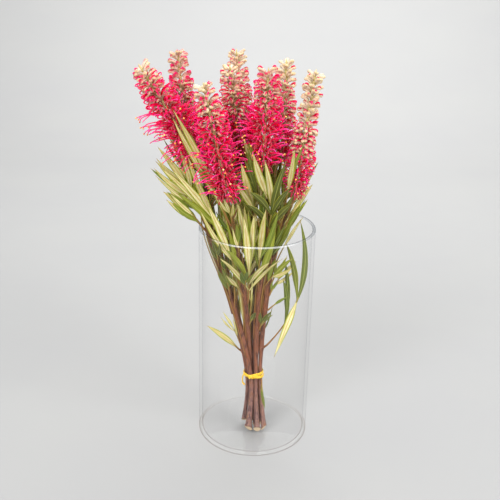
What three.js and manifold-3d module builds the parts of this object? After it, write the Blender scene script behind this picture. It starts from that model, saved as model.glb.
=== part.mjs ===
// A tied bunch of red grevillea standing in a tall clear glass vase.
// Millimetres, +Z up. The origin is the centre of the vase's flat underside, and the bunch leans to -X.
import * as THREE from 'three';
import { mergeVertices } from 'three/addons/utils/BufferGeometryUtils.js';
import Module from 'manifold-3d';

const wasm = await Module();
wasm.setup();

// Driving dimensions
const VASE_HEIGHT = 300;
const VASE_RADIUS = 75;
const GLASS_WALL = 4.1;
const GLASS_FLOOR = 4;
const VASE_SIDES = 48;
const BASE_CHAMFER = 2.5;
const RIM_CHAMFER = 1.2;
const INNER_CHAMFER = 4;
const SEAT_GAP = 0.3;
const FOOT_FLARE = 1.2;
const NECK_TAPER = 0.78;
const WAIST_HEIGHT = 84;
const STEM_SIDES = 6;
const STEM_STEPS = 12;
const TAPE_HEIGHT = 4.2;
const TAPE_THICK = 0.9;
const TAPE_RISE = 2.8;
const KNOT_SIZE = [4.2, 1.5, 2.2];
const CORE_RADIUS = 9;
const TIP_RADIUS = 3.2;
const HEAD_SIDES = 10;
const FLORET_SPACING = 5;
const FLORET_REACH = 8;
const FLORET_GROWTH = 8;
const STYLES = 12;
const STYLE_REACH = 15;
const STYLE_GROWTH = 14;
const BUD_HALF_WIDTH = 4.6;
const BUD_HALF_LENGTH = 8.4;
const BUD_OFFSET = 8;
const BUD_SPACING = 2.8;
const STALK_RADIUS = 1.2;
const BLADE_THICK = 1.2;
const BLADE_STEPS = 4;
const GOLDEN_ANGLE = 137.508;

// Each stem by the flower spike that it carries: its foot on the glass floor, its place in the tied waist,
// the points that it passes on its way up, its neck where the florets begin, the tip of the spike, and its
// half thickness at the waist. "bare" is the share of the spike that is still in pale bud.
const STEMS = {
  a: { foot: [-5.6, -25], waist: [-4.2, -7.6], way: [[-32, -8, 200], [-61, -14, 292]],
    neck: [-72, -18, 383], tip: [-143, -25, 506], thick: 3.4, bare: 0.17 },
  b: { foot: [-11.7, -0.8], waist: [-9.4, -2.2], way: [[-33, 3, 200], [-60, 18, 292]],
    neck: [-88, 25, 381], tip: [-104, 40, 514], thick: 2.5, bare: 0.3 },
  c: { foot: [-4.5, -12.5], waist: [-3.4, -0.6], way: [[-13, -16, 200], [-26, -32, 292]],
    neck: [-36, -42, 348], tip: [-66, -50, 491], thick: 2.4, bare: 0.18 },
  d: { foot: [0, -3], waist: [-0.4, 4.9], way: [[-2, 14, 200], [-9, 30, 292]],
    neck: [-17, 42, 364], tip: [-32, 62, 513], thick: 2.3, bare: 0.34 },
  e: { foot: [4, -14.5], waist: [2.6, -0.4], way: [[-4, 0, 200], [-12, 0, 292]],
    neck: [-20, 0, 376], tip: [-38, 2, 503], thick: 2.4, bare: 0.24 },
  f: { foot: [6.9, -26.8], waist: [3.2, -7.1], way: [[4, -10, 200], [12.5, -14, 285]],
    neck: [5, -24, 382], tip: [8.5, -28, 506], thick: 3, bare: 0.16 },
  g: { foot: [12.5, -8.5], waist: [8.2, 1.3], way: [[14, 8, 200], [21, 18, 292]],
    neck: [28, 26, 381], tip: [31, 42, 505], thick: 2.3, bare: 0.42 },
  h: { foot: [16.6, -21.5], waist: [9.1, -5.2], way: [[14, -7, 200], [27, -10, 292]],
    neck: [44.6, -14, 350], tip: [64.5, -15, 503], thick: 2.6, bare: 0.45 },
};

// Each leaf: the stem that it grows from and the height there, the tip of its end lobe, how many side lobes
// it has, how far they spread in degrees, its width at the broadest, and the compass angle in degrees that
// its green upper side looks to. The pale underside looks the other way. "closer" brings its foot nearer to
// the stem where the stem's flat lies behind it.
const LEAVES = [
  { stem: 'c', from: 272, tip: [-104, -40, 384], width: 9, face: 95,
    lobes: [[0.41, [-117, -29, 381], 7], [0.33, [-83, -53, 397], 8], [0.24, [-100, -34, 353], 8]] },
  { stem: 'a', from: 306, tip: [-113, -20, 393], side: 2, spread: 14, width: 9.5, face: -80 },
  { stem: 'a', from: 298, tip: [-117, -25, 351], side: 3, spread: 13, width: 8.5, face: 110 },
  { stem: 'c', from: 292, tip: [-101, -52, 460], side: 2, spread: 11, width: 9, face: 70 },
  { stem: 'c', from: 216, tip: [-61, -50, 344], side: 2, spread: 12, width: 10.5, face: 75 },
  { stem: 'a', from: 298, tip: [-106, -46, 362], side: 2, spread: 11, width: 7.5, face: -70 },
  { stem: 'c', from: 313, tip: [-70, -61, 391], side: 0, spread: 0, width: 8.5, face: 75 },
  { stem: 'b', from: 302, tip: [-131, 16, 378], side: 4, spread: 17, width: 8.5, face: 80 },
  { stem: 'b', from: 326, tip: [-120, 52, 405], side: 3, spread: 18, width: 8.5, face: -30 },
  { stem: 'h', from: 306, tip: [-7, -60, 412], side: 1, spread: 14, width: 10.5, face: 85 },
  { stem: 'f', from: 286, tip: [-21, -62, 401], width: 10, face: 75, lobes: [[0.36, [-26, -60, 374], 9]] },
  { stem: 'f', from: 268, tip: [32, -54, 402], width: 9, face: -85, closer: 0.8,
    lobes: [[0.42, [-11, -56, 364], 8.5], [0.4, [38, -54, 369], 8.5], [0.28, [-14, -57, 348], 9],
      [0.26, [41, -54, 349], 9]] },
  { stem: 'h', from: 318, tip: [52, -46, 420], width: 6.5, face: -60, lobes: [[0.3, [41, -52, 416], 8.5]] },
  { stem: 'h', from: 299, tip: [61, -18, 361], side: 2, spread: 13, width: 6.5, face: 60 },
  { stem: 'h', from: 262, tip: [44, -26, 316], side: 1, spread: 18, width: 7.5, face: -100 },
  { stem: 'h', from: 126, tip: [54, -6, 312], width: 8, face: -95, bow: [51, 0, -10],
    lobes: [[0.42, [37, -8, 281], 8], [0.22, [37, -2, 254], 7], [0.24, [35, -14, 232], 7],
      [0.4, [27, -13, 116], 9]] },
  { stem: 'c', from: 196, tip: [-4, -52, 334], width: 9.5, face: 90,
    lobes: [[0.32, [-17, -53, 331], 10], [0.24, [-38, -53, 288], 8], [0.16, [-46, -49, 274], 8],
      [0.22, [17, -51, 271], 8], [0.14, [33, -47, 275], 5.5]] },
  { stem: 'f', from: 214, tip: [5, -44, 343], side: 3, spread: 12, width: 9, face: 85 },
  { stem: 'e', from: 226, tip: [-25, -46, 347], side: 3, spread: 11, width: 9, face: 100 },
  { stem: 'f', from: 312, tip: [-14, -46, 417], width: 8, face: -80, closer: 0.5,
    lobes: [[0.36, [-21, -50, 384], 7], [0.3, [-17, -44, 400], 6.5]] },
  { stem: 'b', from: 120, tip: [-64, -10, 160], side: 0, spread: 0, width: 8, face: 110 },
  { stem: 'a', from: 134, tip: [-43, -9, 181], side: 2, spread: 24, width: 4, face: 70 },
  { stem: 'f', from: 160, tip: [24, -16, 182], side: 0, spread: 0, width: 5, face: -60 },
  { stem: 'h', from: 79, tip: [17, -23, 41], side: 0, spread: 0, width: 5, face: -50 },
  { stem: 'd', from: 300, tip: [-12, 82, 398], side: 4, spread: 20, width: 9, face: -90 },
  { stem: 'g', from: 288, tip: [64, 52, 382], side: 4, spread: 20, width: 9, face: -120 },
  { stem: 'd', from: 244, tip: [-40, 56, 350], side: 4, spread: 20, width: 9, face: -70 },
  { stem: 'g', from: 236, tip: [40, 42, 336], side: 4, spread: 22, width: 8.5, face: -120 },
  { stem: 'b', from: 250, tip: [-72, 44, 352], side: 3, spread: 20, width: 8.5, face: -40 },
  { stem: 'd', from: 196, tip: [6, 48, 300], side: 4, spread: 26, width: 8.5, face: -90 },
  { stem: 'a', from: 319, tip: [-116, -27, 412], side: 4, spread: 14, width: 8.5, face: 80 },
  { stem: 'e', from: 262, tip: [-44, -30, 352], side: 2, spread: 14, width: 8.5, face: 90 },
];

// Colours from the cut flowers
const COLOURS = {
  glass: 0xdfe4e4,
  bark: 0x8a5a45,
  tape: 0xe9c33a,
  crimson: 0xc01548,
  bud: 0xe6d3a8,
  leaf: 0xa9aa5e,
};

const up = new THREE.Vector3(0, 0, 1);
const degrees = Math.PI / 180;

// A seeded draw of even numbers between two ends
function makeDraw(seed) {
  let state = seed;
  return (low, high) => {
    state = (Math.imul(state, 1664525) + 1013904223) >>> 0;
    return low + (high - low) * state / 4294967296;
  };
}

function vec(list) {
  return new THREE.Vector3(list[0], list[1], list[2]);
}

// The direction nearest to "wish" that is square to "axis"
function squareTo(wish, axis) {
  return wish.clone().addScaledVector(axis, -wish.dot(axis)).normalize();
}

// Solids and joins
function toSolid(geometry) {
  geometry.deleteAttribute('normal');
  geometry.deleteAttribute('uv');
  const welded = mergeVertices(geometry, 1e-4);
  return new wasm.Manifold(new wasm.Mesh({
    numProp: 3,
    vertProperties: new Float32Array(welded.attributes.position.array),
    triVerts: new Uint32Array(welded.index.array),
  }));
}

function joinAll(geometries) {
  return geometries.map(toSolid).reduce((whole, piece) => whole.add(piece));
}

// The largest body of a solid, so that no loose scrap is kept
function toGeometry(solid) {
  const bodies = solid.decompose();
  const body = bodies.reduce((best, next) => (next.volume() > best.volume() ? next : best));
  const mesh = body.getMesh();
  const geometry = new THREE.BufferGeometry();
  geometry.setAttribute('position', new THREE.BufferAttribute(new Float32Array(mesh.vertProperties), 3));
  geometry.setIndex(new THREE.BufferAttribute(new Uint32Array(mesh.triVerts), 1));
  return geometry;
}

function bend(geometry, place) {
  const positions = geometry.attributes.position;
  for (let i = 0; i < positions.count; i += 1) {
    const point = place(new THREE.Vector3().fromBufferAttribute(positions, i));
    positions.setXYZ(i, point.x, point.y, point.z);
  }
  return geometry;
}

// A round piece that follows a curve: "radius" gives its half width at each share of the length
function tube(curve, flank, radius, sides, steps, pointed = false) {
  const blank = new THREE.CylinderGeometry(pointed ? 0 : 1, 1, 1, sides, steps);
  return bend(blank, (local) => {
    const share = Math.min(Math.max(local.y + 0.5, 0), 1);
    const reach = pointed ? Math.hypot(local.x, local.z) : 1;
    const heading = curve.getTangent(share);
    const first = squareTo(flank, heading);
    const second = first.clone().cross(heading);
    const turn = Math.atan2(local.z, local.x);
    const size = reach < 1e-6 ? 0 : radius(share);
    return curve.getPoint(share)
      .addScaledVector(first, Math.cos(turn) * size)
      .addScaledVector(second, Math.sin(turn) * size);
  });
}

// The width of a leaf lobe along its length, as a share of its broadest
function lobeShape(share) {
  const opening = Math.min(1, 0.32 + 2.4 * share);
  const closing = Math.min(1, 0.12 + 1.75 * (1 - share));
  return Math.min(opening, closing);
}

// A leaf lobe: pointed at both ends, flat on its upper face and keeled along its midrib
function blade(curve, face, width) {
  const blank = new THREE.SphereGeometry(1, 3, BLADE_STEPS);
  return bend(blank, (local) => {
    const share = Math.acos(Math.min(Math.max(local.y, -1), 1)) / Math.PI;
    const ring = Math.hypot(local.x, local.z);
    const heading = curve.getTangent(share);
    const normal = squareTo(face, heading);
    const across = normal.clone().cross(heading);
    const turn = Math.atan2(local.z, local.x);
    const size = ring < 1e-6 ? 0 : 1;
    const half = width / 2 * lobeShape(share) / Math.sin(Math.PI * 2 / 3);
    const keel = BLADE_THICK * (Math.cos(turn) + 0.5) / 1.5;
    return curve.getPoint(share)
      .addScaledVector(across, Math.sin(turn) * half * size)
      .addScaledVector(normal, -keel * size);
  });
}

// What has been placed so far, as small balls along each piece, so that the next piece is bent clear of it
const placed = [];
const BALL_RADIUS = 1.5;
const BALL_STEP = 4;
const CLEARANCE = 0.25;

function ballsAlong(curve, radius, from, to) {
  const length = curve.getLength() * (to - from);
  const count = Math.max(2, Math.ceil(length / BALL_STEP));
  const balls = [];
  for (let i = 0; i <= count; i += 1) {
    const share = from + (to - from) * i / count;
    balls.push({ at: curve.getPoint(share), radius: radius(share) });
  }
  return balls;
}

function ballsOnBlade(curve, face, width) {
  const count = Math.max(3, Math.ceil(curve.getLength() / BALL_STEP));
  const balls = [];
  for (let i = 0; i <= count; i += 1) {
    const share = i / count;
    const heading = curve.getTangent(share);
    const across = squareTo(face, heading).cross(heading);
    const half = width * lobeShape(share) / 3;
    for (const side of [-1, 0, 1]) {
      balls.push({ at: curve.getPoint(share).addScaledVector(across, side * half), radius: BALL_RADIUS });
    }
  }
  return balls;
}

function hitsGlass(ball) {
  const reach = Math.hypot(ball.at.x, ball.at.y);
  const inner = VASE_RADIUS - GLASS_WALL;
  const margin = ball.radius + SEAT_GAP;
  const inWall = reach > inner - margin && reach < VASE_RADIUS + margin;
  return (inWall && ball.at.z < VASE_HEIGHT + margin) || (reach < inner && ball.at.z < GLASS_FLOOR + margin);
}

function isClear(balls, owner) {
  return balls.every((ball) => {
    if (hitsGlass(ball)) return false;
    return placed.every((other) => {
      if (other.owner === owner) return true;
      return other.at.distanceTo(ball.at) > other.radius + ball.radius + CLEARANCE;
    });
  });
}

function keep(balls, owner) {
  for (const ball of balls) placed.push({ ...ball, owner });
}

// Glass
function vase() {
  const inner = VASE_RADIUS - GLASS_WALL;
  const profile = [
    [0, 0],
    [VASE_RADIUS - BASE_CHAMFER, 0],
    [VASE_RADIUS, BASE_CHAMFER],
    [VASE_RADIUS, VASE_HEIGHT - RIM_CHAMFER],
    [VASE_RADIUS - RIM_CHAMFER, VASE_HEIGHT],
    [inner + RIM_CHAMFER, VASE_HEIGHT],
    [inner, VASE_HEIGHT - RIM_CHAMFER],
    [inner, GLASS_FLOOR + INNER_CHAMFER],
    [inner - INNER_CHAMFER, GLASS_FLOOR],
    [0, GLASS_FLOOR],
  ];
  const points = profile.map(([radius, height]) => new THREE.Vector2(radius, height));
  const geometry = new THREE.LatheGeometry(points, VASE_SIDES);
  geometry.rotateX(Math.PI / 2);
  return toGeometry(toSolid(geometry));
}

// Stems
function stemCurve(row) {
  const lean = Math.hypot(row.waist[0] - row.foot[0], row.waist[1] - row.foot[1]) / WAIST_HEIGHT;
  const footHeight = GLASS_FLOOR + SEAT_GAP + row.thick * FOOT_FLARE * lean;
  const points = [
    [...row.foot, footHeight],
    [...row.waist, WAIST_HEIGHT],
    ...row.way,
    row.neck,
    row.tip,
  ];
  return new THREE.CatmullRomCurve3(points.map(vec), false, 'catmullrom', 0.5);
}

// A stretch of a longer curve
class Stretch extends THREE.Curve {
  constructor(whole, from, to) {
    super();
    this.whole = whole;
    this.from = from;
    this.to = to;
  }

  getPoint(share, target = new THREE.Vector3()) {
    return target.copy(this.whole.getPoint(this.from + (this.to - this.from) * share));
  }
}

const NECK_SHARE = 4 / 5;

function stemRadius(thick, share) {
  const flare = 1 + (FOOT_FLARE - 1) * Math.max(0, 1 - share / 0.1);
  return thick * flare * (1 + (NECK_TAPER - 1) * share);
}

// A point on the straight run between two rings of the stem's own solid
function stemPoint(stem, share) {
  const ring = Math.min(Math.floor(share * STEM_STEPS), STEM_STEPS - 1);
  const start = stem.getPoint(ring / STEM_STEPS);
  const end = stem.getPoint((ring + 1) / STEM_STEPS);
  return start.lerp(end, share * STEM_STEPS - ring);
}

function shareAtHeight(stem, height) {
  let low = 0;
  let high = 1;
  for (let i = 0; i < 30; i += 1) {
    const middle = (low + high) / 2;
    if (stemPoint(stem, middle).z < height) low = middle;
    else high = middle;
  }
  return (low + high) / 2;
}

const stems = {};
for (const [name, row] of Object.entries(STEMS)) {
  const axis = stemCurve(row);
  const stem = new Stretch(axis, 0, NECK_SHARE);
  const spike = new Stretch(axis, NECK_SHARE, 1);
  stems[name] = { ...row, name, axis, stem, spike };
}

// Tape: a band round the waist that follows the outer stems, a knot in front and a slack turn at the left
function waistReach(turn, height) {
  const outward = new THREE.Vector3(Math.cos(turn), Math.sin(turn), 0);
  let reach = 0;
  for (const { stem, thick } of Object.values(stems)) {
    for (const level of [height - TAPE_HEIGHT / 2, height + TAPE_HEIGHT / 2]) {
      const share = shareAtHeight(stem, level);
      reach = Math.max(reach, stemPoint(stem, share).dot(outward) + stemRadius(thick, share));
    }
  }
  return reach + SEAT_GAP + 0.2;
}

function tapeHeight(turn) {
  return WAIST_HEIGHT + 2 + TAPE_RISE * Math.cos(turn);
}

function tie() {
  const ring = new THREE.LatheGeometry([
    new THREE.Vector2(1, -0.5),
    new THREE.Vector2(2, -0.5),
    new THREE.Vector2(2, 0.5),
    new THREE.Vector2(1, 0.5),
    new THREE.Vector2(1, -0.5),
  ], 26);
  ring.rotateX(Math.PI / 2);
  bend(ring, (local) => {
    const turn = Math.atan2(local.y, local.x);
    const height = tapeHeight(turn);
    const outside = Math.hypot(local.x, local.y) > 1.5 ? TAPE_THICK : 0;
    const reach = waistReach(turn, height) + outside;
    return new THREE.Vector3(Math.cos(turn) * reach, Math.sin(turn) * reach, height + local.z * TAPE_HEIGHT);
  });
  const front = -100 * degrees;
  const knotReach = waistReach(front, tapeHeight(front)) + TAPE_THICK + 1.3;
  const knot = new THREE.SphereGeometry(1, 8, 5);
  knot.scale(...KNOT_SIZE);
  knot.rotateY(0.25);
  knot.translate(Math.cos(front) * knotReach, Math.sin(front) * knotReach, tapeHeight(front) - 0.8);
  const left = 180 * degrees;
  const slackReach = waistReach(left, tapeHeight(left)) + TAPE_THICK / 2;
  const slackTop = tapeHeight(left);
  const slack = new THREE.QuadraticBezierCurve3(
    new THREE.Vector3(-slackReach - 0.2, 0, slackTop),
    new THREE.Vector3(-slackReach - 3.6, -1.5, slackTop - 8),
    new THREE.Vector3(-slackReach - 1.4, -6.5, slackTop - 15),
  );
  const loop = tube(slack, new THREE.Vector3(0, 1, 0), () => 1.1, 4, 4);
  return toGeometry(joinAll([ring, knot, loop]));
}

// Leaves
function outwardAt(point) {
  const lean = (point.z - WAIST_HEIGHT) * 0.07;
  const outward = new THREE.Vector3(point.x + lean, point.y + 2, 0);
  return outward.lengthSq() > 1 ? outward.normalize() : new THREE.Vector3(0, -1, 0);
}

function leafAxis(row, root, tilt) {
  const tip = vec(row.tip);
  const chord = tip.clone().sub(root);
  const middle = root.clone().add(tip).multiplyScalar(0.5);
  const outward = squareTo(outwardAt(middle), chord.clone().normalize());
  const across = outward.clone().cross(chord).normalize();
  chord.applyAxisAngle(across, tilt[0] * degrees);
  chord.applyAxisAngle(outward, tilt[1] * degrees);
  const bow = row.bow ? vec(row.bow) : outward.clone().multiplyScalar(-0.07 * chord.length());
  const control = root.clone().addScaledVector(chord, 0.5).add(bow);
  const curve = new THREE.QuadraticBezierCurve3(root, control, root.clone().add(chord));
  const look = new THREE.Vector3(Math.cos(row.face * degrees), Math.sin(row.face * degrees), 0);
  return { curve, face: squareTo(look, chord.clone().normalize()), length: chord.length() };
}

// The turns in degrees tried, in order, until a leaf or a lobe clears what is already there, and then the
// shares of its full size
const SWINGS = [
  [0, 0], [4, 0], [-4, 0], [0, 4], [0, -4], [8, 0], [0, 8], [0, -8], [8, 8], [8, -8], [12, 0],
];
const TURNS = [
  [0, 0], [0, 7], [0, -7], [10, 0], [-10, 0], [10, 7], [-10, -7], [18, 0], [-18, 0], [0, 14], [0, -14],
  [18, 10], [-18, -10], [28, 0], [-28, 0], [28, 12], [-28, -12], [40, 0], [-40, 0], [40, 14], [-40, 14],
];
const LOBE_SIZES = [1, 0.75, 0.55];
const FLORET_SIZES = [1, 0.75, 0.5, 0.3];
const STYLE_SIZES = [1, 0.85, 0.7];

function sideLobe(leaf, share, side, spread, reach, width, turn) {
  const start = leaf.curve.getPoint(share);
  const heading = leaf.curve.getTangent(share);
  const across = squareTo(leaf.face, heading).cross(heading).multiplyScalar(side);
  const angle = (spread + turn[1]) * degrees;
  const opened = (by) => (
    heading.clone().multiplyScalar(Math.cos(by)).addScaledVector(across, Math.sin(by))
      .applyAxisAngle(heading, turn[0] * degrees)
  );
  const way = opened(angle);
  const wide = opened(angle * 1.7);
  const control = start.clone().addScaledVector(wide, reach * 0.4);
  const tip = start.clone().addScaledVector(way, reach);
  const face = squareTo(leaf.face, heading).applyAxisAngle(heading, turn[0] * degrees * 0.6);
  return { curve: new THREE.QuadraticBezierCurve3(start, control, tip), face, width };
}

const STALK_END = 0.44;
const LOBE_START = 0.38;

function leafPlan(row, index) {
  const draw = makeDraw(100 + index);
  const { stem, thick } = stems[row.stem];
  const foot = shareAtHeight(stem, row.from);
  const centre = stemPoint(stem, foot);
  const aim = vec(row.tip).sub(centre);
  const away = squareTo(aim.clone(), stem.getTangent(foot));
  const offset = stemRadius(thick, foot) + SEAT_GAP + STALK_RADIUS - (row.closer ?? 0);
  const root = centre.clone().addScaledVector(away, offset);
  const owner = `leaf ${index}`;
  let leaf = null;
  for (const swing of SWINGS) {
    const trial = leafAxis(row, root, swing);
    const end = new Stretch(trial.curve, LOBE_START, 1);
    const near = Math.min(0.3, 8 / trial.length);
    const balls = [
      ...ballsAlong(trial.curve, () => STALK_RADIUS, near, STALK_END),
      ...ballsOnBlade(end, trial.face, row.width),
    ];
    if (isClear(balls, owner)) {
      leaf = { ...trial, end, balls };
      break;
    }
  }
  if (!leaf) throw new Error(`leaf ${index + 1} does not clear its neighbours`);
  keep(leaf.balls, owner);
  const lobes = [{ curve: leaf.end, face: leaf.face, width: row.width }];
  const wanted = row.lobes ?? Array.from({ length: row.side }, (_, k) => k);
  wanted.forEach((want, k) => {
    const stretch = draw(0.88, 1.08);
    const opening = draw(-3, 3);
    const slim = draw(0.82, 1);
    for (const size of LOBE_SIZES) {
      for (const turn of TURNS) {
        const trial = row.lobes
          ? aimedLobe(leaf, want, turn, size)
          : ruledLobe(leaf, row, k, turn, stretch * size, opening, slim);
        const balls = ballsOnBlade(trial.curve, trial.face, trial.width).slice(6);
        if (isClear(balls, owner)) {
          keep(balls, owner);
          lobes.push(trial);
          return;
        }
      }
    }
  });
  return { row, root, curve: leaf.curve, face: leaf.face, lobes };
}

function ruledLobe(leaf, row, k, turn, stretch, opening, slim) {
  const share = 0.14 + 0.3 * (k + 0.5) / row.side;
  const reach = leaf.length * (0.66 - 0.35 * (share - 0.14)) * stretch;
  const side = k % 2 === 0 ? 1 : -1;
  return sideLobe(leaf, share, side, row.spread + opening, reach, row.width * slim, turn);
}

// A lobe whose tip is given
function aimedLobe(leaf, [share, tipPoint, width], turn, size) {
  const start = leaf.curve.getPoint(share);
  const chord = vec(tipPoint).sub(start).multiplyScalar(size);
  const heading = leaf.curve.getTangent(share);
  chord.applyAxisAngle(heading, turn[0] * degrees * 0.5);
  const control = start.clone().addScaledVector(chord, 0.45).addScaledVector(heading, chord.length() * 0.16);
  const curve = new THREE.QuadraticBezierCurve3(start, control, start.clone().add(chord));
  return { curve, face: leaf.face, width };
}

function leafGeometry(plan) {
  const stalk = tube(new Stretch(plan.curve, 0, STALK_END), plan.face, (share) => (
    STALK_RADIUS * (1 - 0.35 * share)
  ), 3, 3);
  const blades = plan.lobes.map((lobe) => blade(lobe.curve, lobe.face, lobe.width));
  return toGeometry(joinAll([stalk, ...blades]));
}

// Flower spikes: a head whose surface is raised into pointed florets, longer styles that stand out of its
// older part, and the pale buds at its tip
function aroundSpike(spike, share, turn) {
  const heading = spike.getTangent(share);
  const first = squareTo(new THREE.Vector3(1, 0, 0), heading);
  return first.applyAxisAngle(heading, turn * degrees);
}

function coreRadius(share) {
  const swell = Math.min(1, 0.5 + 4 * share);
  return (CORE_RADIUS + (TIP_RADIUS - CORE_RADIUS) * share * share) * swell;
}

// A floret or style: it bows out from the core and hooks back towards the tip of the spike
function floretCurve(spike, share, age, outward, sway, size) {
  const heading = spike.getTangent(share);
  const sideways = outward.clone().cross(heading);
  const start = spike.getPoint(share).addScaledVector(outward, 1.5);
  const reach = (STYLE_REACH + STYLE_GROWTH * age) * size;
  const rise = (9 - 6 * age) * size;
  const belly = start.clone().addScaledVector(outward, reach * 1.12).addScaledVector(heading, -2 + 2 * age);
  const end = start.clone()
    .addScaledVector(outward, reach * (0.66 + 0.34 * age))
    .addScaledVector(heading, rise)
    .addScaledVector(sideways, sway * size);
  return new THREE.QuadraticBezierCurve3(start, belly, end);
}

function spikePlan(entry, index) {
  const draw = makeDraw(500 + index);
  const { spike, bare, name } = entry;
  const split = 1 - bare;
  const owner = `spike ${name}`;
  keep(ballsAlong(spike, coreRadius, 0, 1), owner);
  const buds = [];
  const count = Math.round(spike.getLength() * bare / BUD_SPACING);
  for (let k = 0; k < count; k += 1) {
    const share = split + 0.03 + (0.985 - split - 0.03) * (k + 0.5) / count;
    const outward = aroundSpike(spike, share, k * GOLDEN_ANGLE + draw(-12, 12));
    const size = 1 - 0.35 * (k / count);
    buds.push({ share, outward, size });
    const at = spike.getPoint(share).addScaledVector(outward, 9.5 * size);
    keep([{ at, radius: 5.5 * size }], owner);
  }
  return { entry, split, buds, styles: [], florets: [], draw, owner };
}

// The longest of a few sizes at which a floret clears its neighbours
function fitted(plan, grow, sizes) {
  for (const size of sizes) {
    const { balls, result } = grow(size);
    if (isClear(balls, plan.owner)) {
      keep(balls, plan.owner);
      return result;
    }
  }
  return null;
}

function growFlorets(plan) {
  const { spike } = plan.entry;
  const rings = Math.round(spike.getLength() * plan.split / FLORET_SPACING);
  for (let ring = 0; ring <= rings; ring += 1) {
    const share = plan.split * ring / rings;
    const age = 1 - ring / rings;
    const row = [];
    for (let side = 0; side < HEAD_SIDES; side += 1) {
      const stretch = plan.draw(0.85, 1.1);
      const rise = plan.draw(2, 5);
      const inner = { reach: coreRadius(share), rise: 0 };
      const raised = (ring + side) % 2 === 0 && ring > 0 && ring < rings;
      const outward = aroundSpike(spike, share, side * 360 / HEAD_SIDES);
      const grow = (size) => {
        const reach = inner.reach + (FLORET_REACH + FLORET_GROWTH * age) * stretch * size;
        const apex = spike.getPoint(share).addScaledVector(outward, reach)
          .addScaledVector(spike.getTangent(share), rise * size);
        const waist = spike.getPoint(share).addScaledVector(outward, (inner.reach + reach) / 2);
        const balls = [{ at: apex, radius: 1.2 }, { at: waist, radius: 4.2 }];
        return { balls, result: { reach, rise: rise * size } };
      };
      row.push((raised && fitted(plan, grow, FLORET_SIZES)) || inner);
    }
    plan.florets.push(row);
  }
  for (let k = 0; k < STYLES; k += 1) {
    const share = plan.split * (0.05 + 0.6 * (k + 0.5) / STYLES);
    const age = 1 - share / plan.split;
    const outward = aroundSpike(spike, share, k * GOLDEN_ANGLE + plan.draw(-10, 10));
    const sway = plan.draw(-6, 6);
    const full = plan.draw(0.9, 1.1);
    const grow = (size) => {
      const curve = floretCurve(spike, share, age, outward, sway, full * size);
      const flank = outward.clone().cross(spike.getTangent(share));
      return { balls: ballsAlong(curve, () => 1.4, 0.3, 1), result: { curve, flank } };
    };
    const style = fitted(plan, grow, STYLE_SIZES);
    if (style) plan.styles.push(style);
  }
}

// A tube whose every other corner is drawn out into a floret; quads are split so that each stands alone
function raisedHead(plan) {
  const rings = plan.florets.length - 1;
  const near = SEAT_GAP / plan.entry.spike.getLength();
  const stretch = new Stretch(plan.entry.spike, near, plan.split - near);
  const blank = new THREE.CylinderGeometry(1, 1, 1, HEAD_SIDES, rings);
  const order = blank.index.array;
  for (let quad = 0; quad < HEAD_SIDES * rings; quad += 1) {
    const side = Math.floor(quad / rings);
    const ring = rings - quad % rings;
    if ((side + ring) % 2 === 1) {
      const [a, b, d, , c] = order.slice(quad * 6, quad * 6 + 6);
      order.set([a, b, c, a, c, d], quad * 6);
    }
  }
  return bend(blank, (local) => {
    const share = local.y + 0.5;
    const at = stretch.getPoint(share);
    if (Math.hypot(local.x, local.z) < 0.5) return at;
    const ring = Math.round(share * rings);
    const turn = Math.atan2(local.x, local.z) * HEAD_SIDES / (2 * Math.PI);
    const side = (Math.round(turn) + HEAD_SIDES) % HEAD_SIDES;
    const floret = plan.florets[ring][side];
    const outward = aroundSpike(plan.entry.spike, share * plan.split, side * 360 / HEAD_SIDES);
    return at
      .addScaledVector(outward, floret.reach)
      .addScaledVector(stretch.getTangent(share), floret.rise);
  });
}

function bloomGeometry(plan) {
  const styles = plan.styles.map(({ curve, flank }) => (
    tube(curve, flank, (along) => 1.9 - 1.1 * along, 3, 2, true)
  ));
  return toGeometry(joinAll([raisedHead(plan), ...styles]));
}

function budGeometry(plan) {
  const { spike } = plan.entry;
  const top = new Stretch(spike, plan.split, 1);
  const core = tube(top, new THREE.Vector3(1, 0, 0), (share) => (
    coreRadius(plan.split) * (1 - 0.6 * share)
  ), 5, 2, true);
  const buds = plan.buds.map(({ share, outward, size }) => {
    const bud = new THREE.OctahedronGeometry(1);
    bud.scale(BUD_HALF_WIDTH * size, BUD_HALF_WIDTH * size, BUD_HALF_LENGTH * size);
    const lift = outward.clone().addScaledVector(spike.getTangent(share), 0.75).normalize();
    bud.applyQuaternion(new THREE.Quaternion().setFromUnitVectors(up, lift));
    const at = spike.getPoint(share).addScaledVector(lift, BUD_OFFSET * size);
    return bud.translate(at.x, at.y, at.z);
  });
  return toGeometry(joinAll([core, ...buds]));
}

// The whole, piece by piece, each at its own foot point
function addMesh(group, name, geometry, colour, root, finish = {}) {
  geometry.translate(-root.x, -root.y, -root.z);
  const look = { color: colour, roughness: 0.6, metalness: 0, ...finish };
  const material = new THREE.MeshStandardMaterial(look);
  const mesh = new THREE.Mesh(geometry, material);
  mesh.name = name;
  mesh.position.copy(root);
  group.add(mesh);
}

const bunch = new THREE.Group();
const object = new THREE.Group();
const origin = new THREE.Vector3();
addMesh(object, 'vase', vase(), COLOURS.glass, origin, { roughness: 0.05 });

for (const entry of Object.values(stems)) {
  const radius = (share) => stemRadius(entry.thick, share);
  const shape = tube(entry.stem, new THREE.Vector3(1, 0, 0), radius, STEM_SIDES, STEM_STEPS);
  keep(ballsAlong(entry.stem, radius, 0, 1), `stem ${entry.name}`);
  addMesh(bunch, `stem_${entry.name}`, toGeometry(toSolid(shape)), COLOURS.bark, entry.stem.getPoint(0));
}
addMesh(bunch, 'tie', tie(), COLOURS.tape, new THREE.Vector3(0, 0, WAIST_HEIGHT));

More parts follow.
